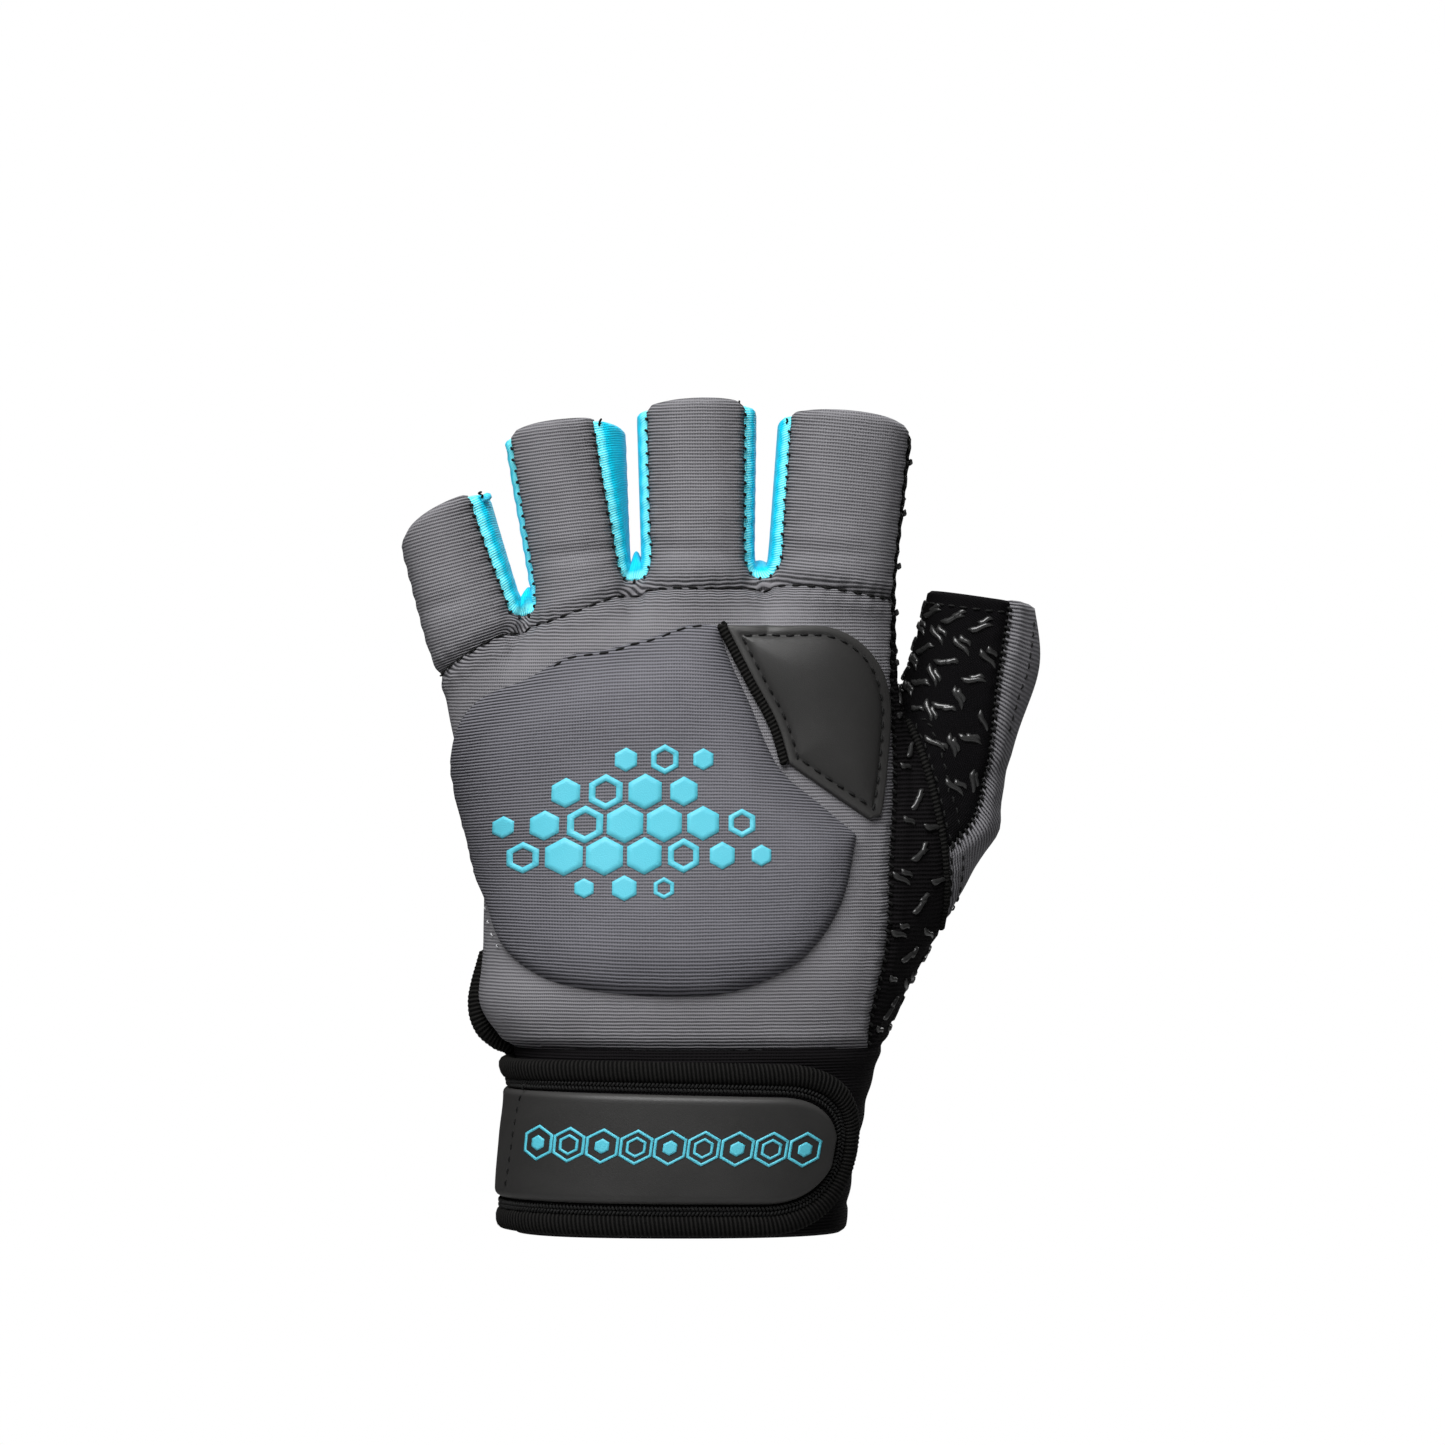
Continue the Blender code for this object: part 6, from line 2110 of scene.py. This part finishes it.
# %% The bound edge
EDGE_TAPE = (
    # x and height as shares, and how far back from the hand's middle plane in mm
    (-0.392, 0.205, 4.6),
    (-0.402, 0.170, 4.2),
    (-0.413, 0.130, 3.6),
    (-0.419, 0.092, 3.2),
    (-0.414, 0.055, 3.2),
    (-0.400, 0.028, 3.6),
    (-0.378, 0.010, 4.4),
    (-0.350, -0.004, 5.0),
    (-0.330, -0.024, 6.0),
)
EDGE_HALF = 1.9 * MM
spine = np.array([
    (x * KNUCKLE_BREADTH, back * MM, CUFF_HEIGHT + height * HAND_LENGTH)
    for x, height, back in EDGE_TAPE
])
spine = smoothed(spine, 60)
facing = np.tile(vector(-0.75, -0.66, 0.0), (len(spine), 1))
points, faces, cloth = cord(
    spine, facing, EDGE_HALF, 1.3 * MM, sides=16, pitch=TAPE_PITCH_MM * MM, rib=0.13 * MM, slant=0.35
)
add_piece("edge_tape", points, faces, TAPE, "black_tape", "edge_binding", cloth)

# %% [markdown]
# The tape binds the black cloth of the wrist slit. That cloth fills the narrow gap between the tape
# and the hand: a strip from the tape's middle line to the nearest places of the form.

# %% The cloth behind the bound edge
WEB_ROWS = 8
WEB_CLOTH = 1.0 * MM
ashore, _ = snap(spine + vector(2.5, 0, 0.6) * MM)
share = np.linspace(0, 1, WEB_ROWS)[:, None, None]
web = spine[None] * (1 - share) + ashore[None] * share
half_cloth = vector(-0.4, -0.9, 0.0) * WEB_CLOTH / 2
points, faces = two_sided(web + half_cloth, web - half_cloth, flip=False)
add_piece("edge_web", points, faces, PALM_KNIT, "black_knit", None, points / MM)

# %% [markdown]
# Printed marks are thin films on the cloth. The pad carries a loose cluster of small hexagons and the
# label a row of outlined ones, a plain pattern that belongs to nobody. Each hexagon is its own little
# net, laid on the top of the piece below it, so it follows the swell.

# %% Prints on the pad and the label
FILM = 0.13 * MM
HEX_SIDE_POINTS = 4


def hexagon(radius, hole):
    """Places on a hexagon with a hole, ring by ring, and its faces; the last ring is its skirt."""
    turns = np.radians(60 * np.arange(7) + 30)
    corners = np.column_stack([np.cos(turns), np.sin(turns)])
    rim = read_along(np.arange(6 * HEX_SIDE_POINTS) / HEX_SIDE_POINTS, np.arange(7), corners) * radius
    shares = np.linspace(max(hole, 0.02), 1, 2 if hole else 4)
    rings = [rim * share for share in shares]
    lifts = [FILM] * len(rings)
    rings.append(rim * 1.02)
    lifts.append(-0.2 * MM)
    if hole:
        rings.insert(0, rim * hole * 0.98)
        lifts.insert(0, -0.2 * MM)
    count = len(rim)
    faces = grid_faces(len(rings), count, closed=True, flip=True)
    if not hole:
        faces.append(tuple(range(count)))
    return np.concatenate(rings), np.repeat(lifts, count), faces


# The pad's cluster: column, row, radius in mm and the hole's share of it
PAD_HEX_PITCH = 7.4 * MM
PAD_CLUSTER_AT = (-0.205, 0.405)
PAD_CLUSTER = (
    (0, 0, 3.9, 0.0), (1, 0, 3.9, 0.0), (2, 0, 3.7, 0.0), (3, 0, 3.4, 0.62), (4, 0, 2.7, 0.0),
    (5, 0, 2.1, 0.0), (0, 1, 3.8, 0.62), (1, 1, 3.9, 0.0), (2, 1, 3.8, 0.0), (3, 1, 3.5, 0.0),
    (4, 1, 2.9, 0.6), (-1, 1, 3.0, 0.0), (0, 2, 3.0, 0.0), (1, 2, 3.6, 0.62), (2, 2, 3.6, 0.0),
    (3, 2, 3.0, 0.0), (1, 3, 2.4, 0.0), (2, 3, 3.0, 0.62), (3, 3, 2.2, 0.0), (-1, 0, 3.3, 0.62),
    (-2, 1, 2.2, 0.0), (1, -1, 2.6, 0.0), (2, -1, 2.2, 0.62), (0, -1, 2.0, 0.0),
)


def film(name, spots, place, slot):
    """All the hexagons of one print, laid by the function place."""
    shapes = []
    for x, z, radius, hole in spots:
        flat, lifts, faces = hexagon(radius, hole)
        point, normal = place(flat + (x, z))
        shapes.append((point + normal * lifts[:, None], faces, flat + (x, z)))
    points, faces = join(*[shape[:2] for shape in shapes])
    flat = np.concatenate([shape[2] for shape in shapes]) / MM
    places = np.column_stack([flat, np.full(len(flat), 9.0)])
    piece = add_piece(name, points, faces, PRINT, slot, None, places)
    print(name, "hexagons:", len(spots))
    return piece


spots = []
for column_number, row, radius, hole in PAD_CLUSTER:
    x = PAD_CLUSTER_AT[0] * KNUCKLE_BREADTH + (column_number + 0.5 * (row % 2)) * PAD_HEX_PITCH
    z = PAD_CLUSTER_AT[1] * HAND_LENGTH + row * PAD_HEX_PITCH * 0.866
    spots.append((x, z, radius * MM, hole))
film("pad_print", spots, lambda flat: PAD.top(flat), "grey_rib_knit")

# %% Place on the label and its print
LABEL_OUT = STRAP_CLEARANCE + STRAP_THICK + LABEL_GAP + LABEL_THICK
STRAP_GRID = np.linspace(0, STRAP_LENGTH, 300)


def length_at(x, z):
    """The length along the strap of a place on the label, given by x and height."""
    point, normal = strap_at(STRAP_GRID, np.full(len(STRAP_GRID), z))
    point = point + normal * LABEL_OUT
    first = int(np.argmin(point[:, 0]))
    return float(np.interp(x, point[first:, 0], STRAP_GRID[first:]))


def on_label(flat):
    """Points and normals on the label, for lengths along the strap and heights."""
    point, normal = strap_at(flat[:, 0], flat[:, 1])
    return point + normal * LABEL_OUT, normal


LABEL_HEXES = 9
LABEL_PRINT_FROM = -25.6 * MM
LABEL_HEX_PITCH = 6.3 * MM
LABEL_HEX_LIFT = 0.4 * MM
# Radius in mm and the hole's share of it: the outline, then the two kinds of core in turn
LABEL_HEX = (3.5, 0.84)
LABEL_HEX_CORES = ((1.5, 0.0), (2.1, 0.74))
first = length_at(LABEL_PRINT_FROM, STRAP_END_MIDDLE)
spots = []
for i in range(LABEL_HEXES):
    s = first + i * LABEL_HEX_PITCH
    z = strap_half(s)[1] + LABEL_HEX_LIFT
    for radius, hole in (LABEL_HEX, LABEL_HEX_CORES[i % 2]):
        spots.append((s, z, radius * MM, hole))
film("label_print", spots, on_label, "coated_patch")

# %% [markdown]
# Small things make cloth look sewn by hand: the line that holds the label's folded end, a few thread
# ends left at the hems, a turquoise knot, and pale specks of thread on the pad's edge.

# %% The stitches of the label's flap
# The flap's stitch line on the label: x and height in mm
FLAP_LINE = ((-28.2, 31.0), (-29.5, 26.2), (-30.5, 20.4), (-31.5, 13.0), (-32.4, 7.8))
flap = np.array([(length_at(x * MM, z * MM), z * MM) for x, z in FLAP_LINE])
flap = read_along(np.linspace(0, line_places(flap)[-1], 30), line_places(flap), flap)
flap_stitches = stitch_line(*on_label(flap), 2.5, 1.7, 0.2, jitter=3.0)
sew("label_stitches", [flap_stitches], THREAD, "coated_patch")
# %% [markdown]
# Thread ends stand up from the hems where a seam was tied off. Each is a short curl, given by where
# it starts and the way it turns.

# %% Thread ends, specks and the knot
# Thread ends: x and height of the root in mm, then steps across, out and up in mm
THREAD_ENDS = (
    (15.3, 163.6, ((0, 0, 0), (-0.5, 0.3, 0.8), (-1.1, 0.5, 1.4), (-1.0, 0.7, 2.0))),
    (-13.6, 160.4, ((0, 0, 0), (0.1, 0.3, 0.8), (0.5, 0.5, 1.5))),
    (-37.2, 146.2, ((0, 0, 0), (0.4, 0.6, 0.4), (-0.4, 0.8, 0.9), (0.3, 1.0, 1.2))),
    (23.6, 161.0, ((0, 0, 0), (0.2, 0.4, 0.7), (0.0, 0.7, 1.1))),
    (14.4, 119.9, ((0, 0, 0), (-0.7, 0.8, 0.4), (-0.9, 0.9, -0.5), (0.2, 1.1, -0.4))),
)


def in_shares(x, z):
    return x * MM / KNUCKLE_BREADTH, (z * MM - CUFF_HEIGHT) / HAND_LENGTH


ends = []
for x, z, moves in THREAD_ENDS:
    root, normal = on_form([in_shares(x, z), in_shares(x, z - 0.1)], 2)
    if len(root) == 0:
        continue
    line = np.array([root[0] + vector(a, -b, c) * MM for a, b, c in moves])
    ends.append(cord(smoothed(line, 14), np.tile(normal[:1], (14, 1)), 0.22 * MM, 0.22 * MM, sides=6))
sew("thread_ends", ends, THREAD, "turquoise_stretch")

PALE_SPECKS = ((-36.2, 64.8), (-35.6, 62.2), (-34.8, 59.8), (-33.7, 57.6))
specks = []
for x, z in PALE_SPECKS:
    line = on_form([in_shares(x, z), in_shares(x + 0.5, z - 1.1)], 4)
    specks.append(stitch_line(*lifted(line, 0.45), 1.3, 0.8, 0.13, start=0.45))
sew("pale_specks", specks, PALE_THREAD, "grey_rib_knit")
knot_line = on_form([in_shares(-36.8, 146.0), in_shares(-35.4, 147.0)], 4)
knot = [stitch_line(*lifted(knot_line, 0.5), 1.7, 2.0, 0.8, start=0.4)]
sew("gusset_knot", knot, TURQUOISE_THREAD, "turquoise_stretch")

# %% [markdown]
# The palm side grips the stick through small raised rubber marks. Here they are plain drops in
# leaning pairs, laid on a lattice of the cloth's own places, so that they follow the hand. Marks
# that would touch a seam or a hem are left out.

# %% Grip marks on the palm and the thumb
MARK_LONG = 5.2 * MM
MARK_SHORT = 3.2 * MM
MARK_WIDTH = 1.25 * MM
MARK_RISE = 0.55 * MM
MARK_LEAN = 28.0
MARK_PITCHES = {"palm": (6.3, 5.2), "thumb_front": (7.2, 5.6)}
MARK_CLEAR = 2.4 * MM


def drop(length):
    """A low, slightly bent drop of rubber."""
    def ring(t):
        thick = math.sqrt(max(1 - t**4, 0.03))
        wide = MARK_WIDTH / 2 * thick * (1 - 0.3 * t)
        return 0.28 * MARK_WIDTH * math.sin(math.pi * t), 0, wide, MARK_RISE * thick

    return bent_body(length, ring)


def marks_on(name, pitch):
    """Pairs of drops on a panel, on a lattice of its cloth."""
    cut = PANEL_CUTS[name]
    tree = KDTree(len(cut.points))
    for i, (u, v) in enumerate(cut.cloth.tolist()):
        tree.insert((u, v, 0), i)
    tree.balance()
    low = cut.cloth.min(axis=0)
    high = cut.cloth.max(axis=0)
    shapes = []
    random = np.random.default_rng(7)
    for row, v in enumerate(np.arange(low[1] + 2.0, high[1] - 2.0, pitch[1])):
        for u in np.arange(low[0] + 2.0, high[0] - 1.0, pitch[0]):
            u = u + (row % 2) * pitch[0] / 2
            lean = (MARK_LEAN if row % 2 else -MARK_LEAN) + random.uniform(-7, 7)
            for length, aside, ahead in ((MARK_LONG, 0.0, 0.0), (MARK_SHORT, 1.55, 0.9)):
                _, i, gap = tree.find((u + ahead, v + aside, 0))
                _, j, other = tree.find((u + ahead + 2.0, v + aside, 0))
                at = cut.used[i]
                if max(gap, other) > 0.9 or min(SEAM_DISTANCE[at], HEM_DISTANCE[at]) < MARK_CLEAR:
                    continue
                run = unit(cut.points[j] - cut.points[i])
                normal = unit(cut.normals[i] - run * np.dot(cut.normals[i], run))
                turn = math.radians(lean)
                along = run * math.cos(turn) + np.cross(normal, run) * math.sin(turn)
                frame_here = (cut.points[i], along, np.cross(normal, along), normal)
                shapes.append(copies(drop(length), *(axis[None] for axis in frame_here)))
    return shapes


for name, pitch in MARK_PITCHES.items():
    marks = marks_on(name, pitch)
    sew(name + "_grips", marks, GRIP, "black_knit")
    print(name, "grip drops:", len(marks))
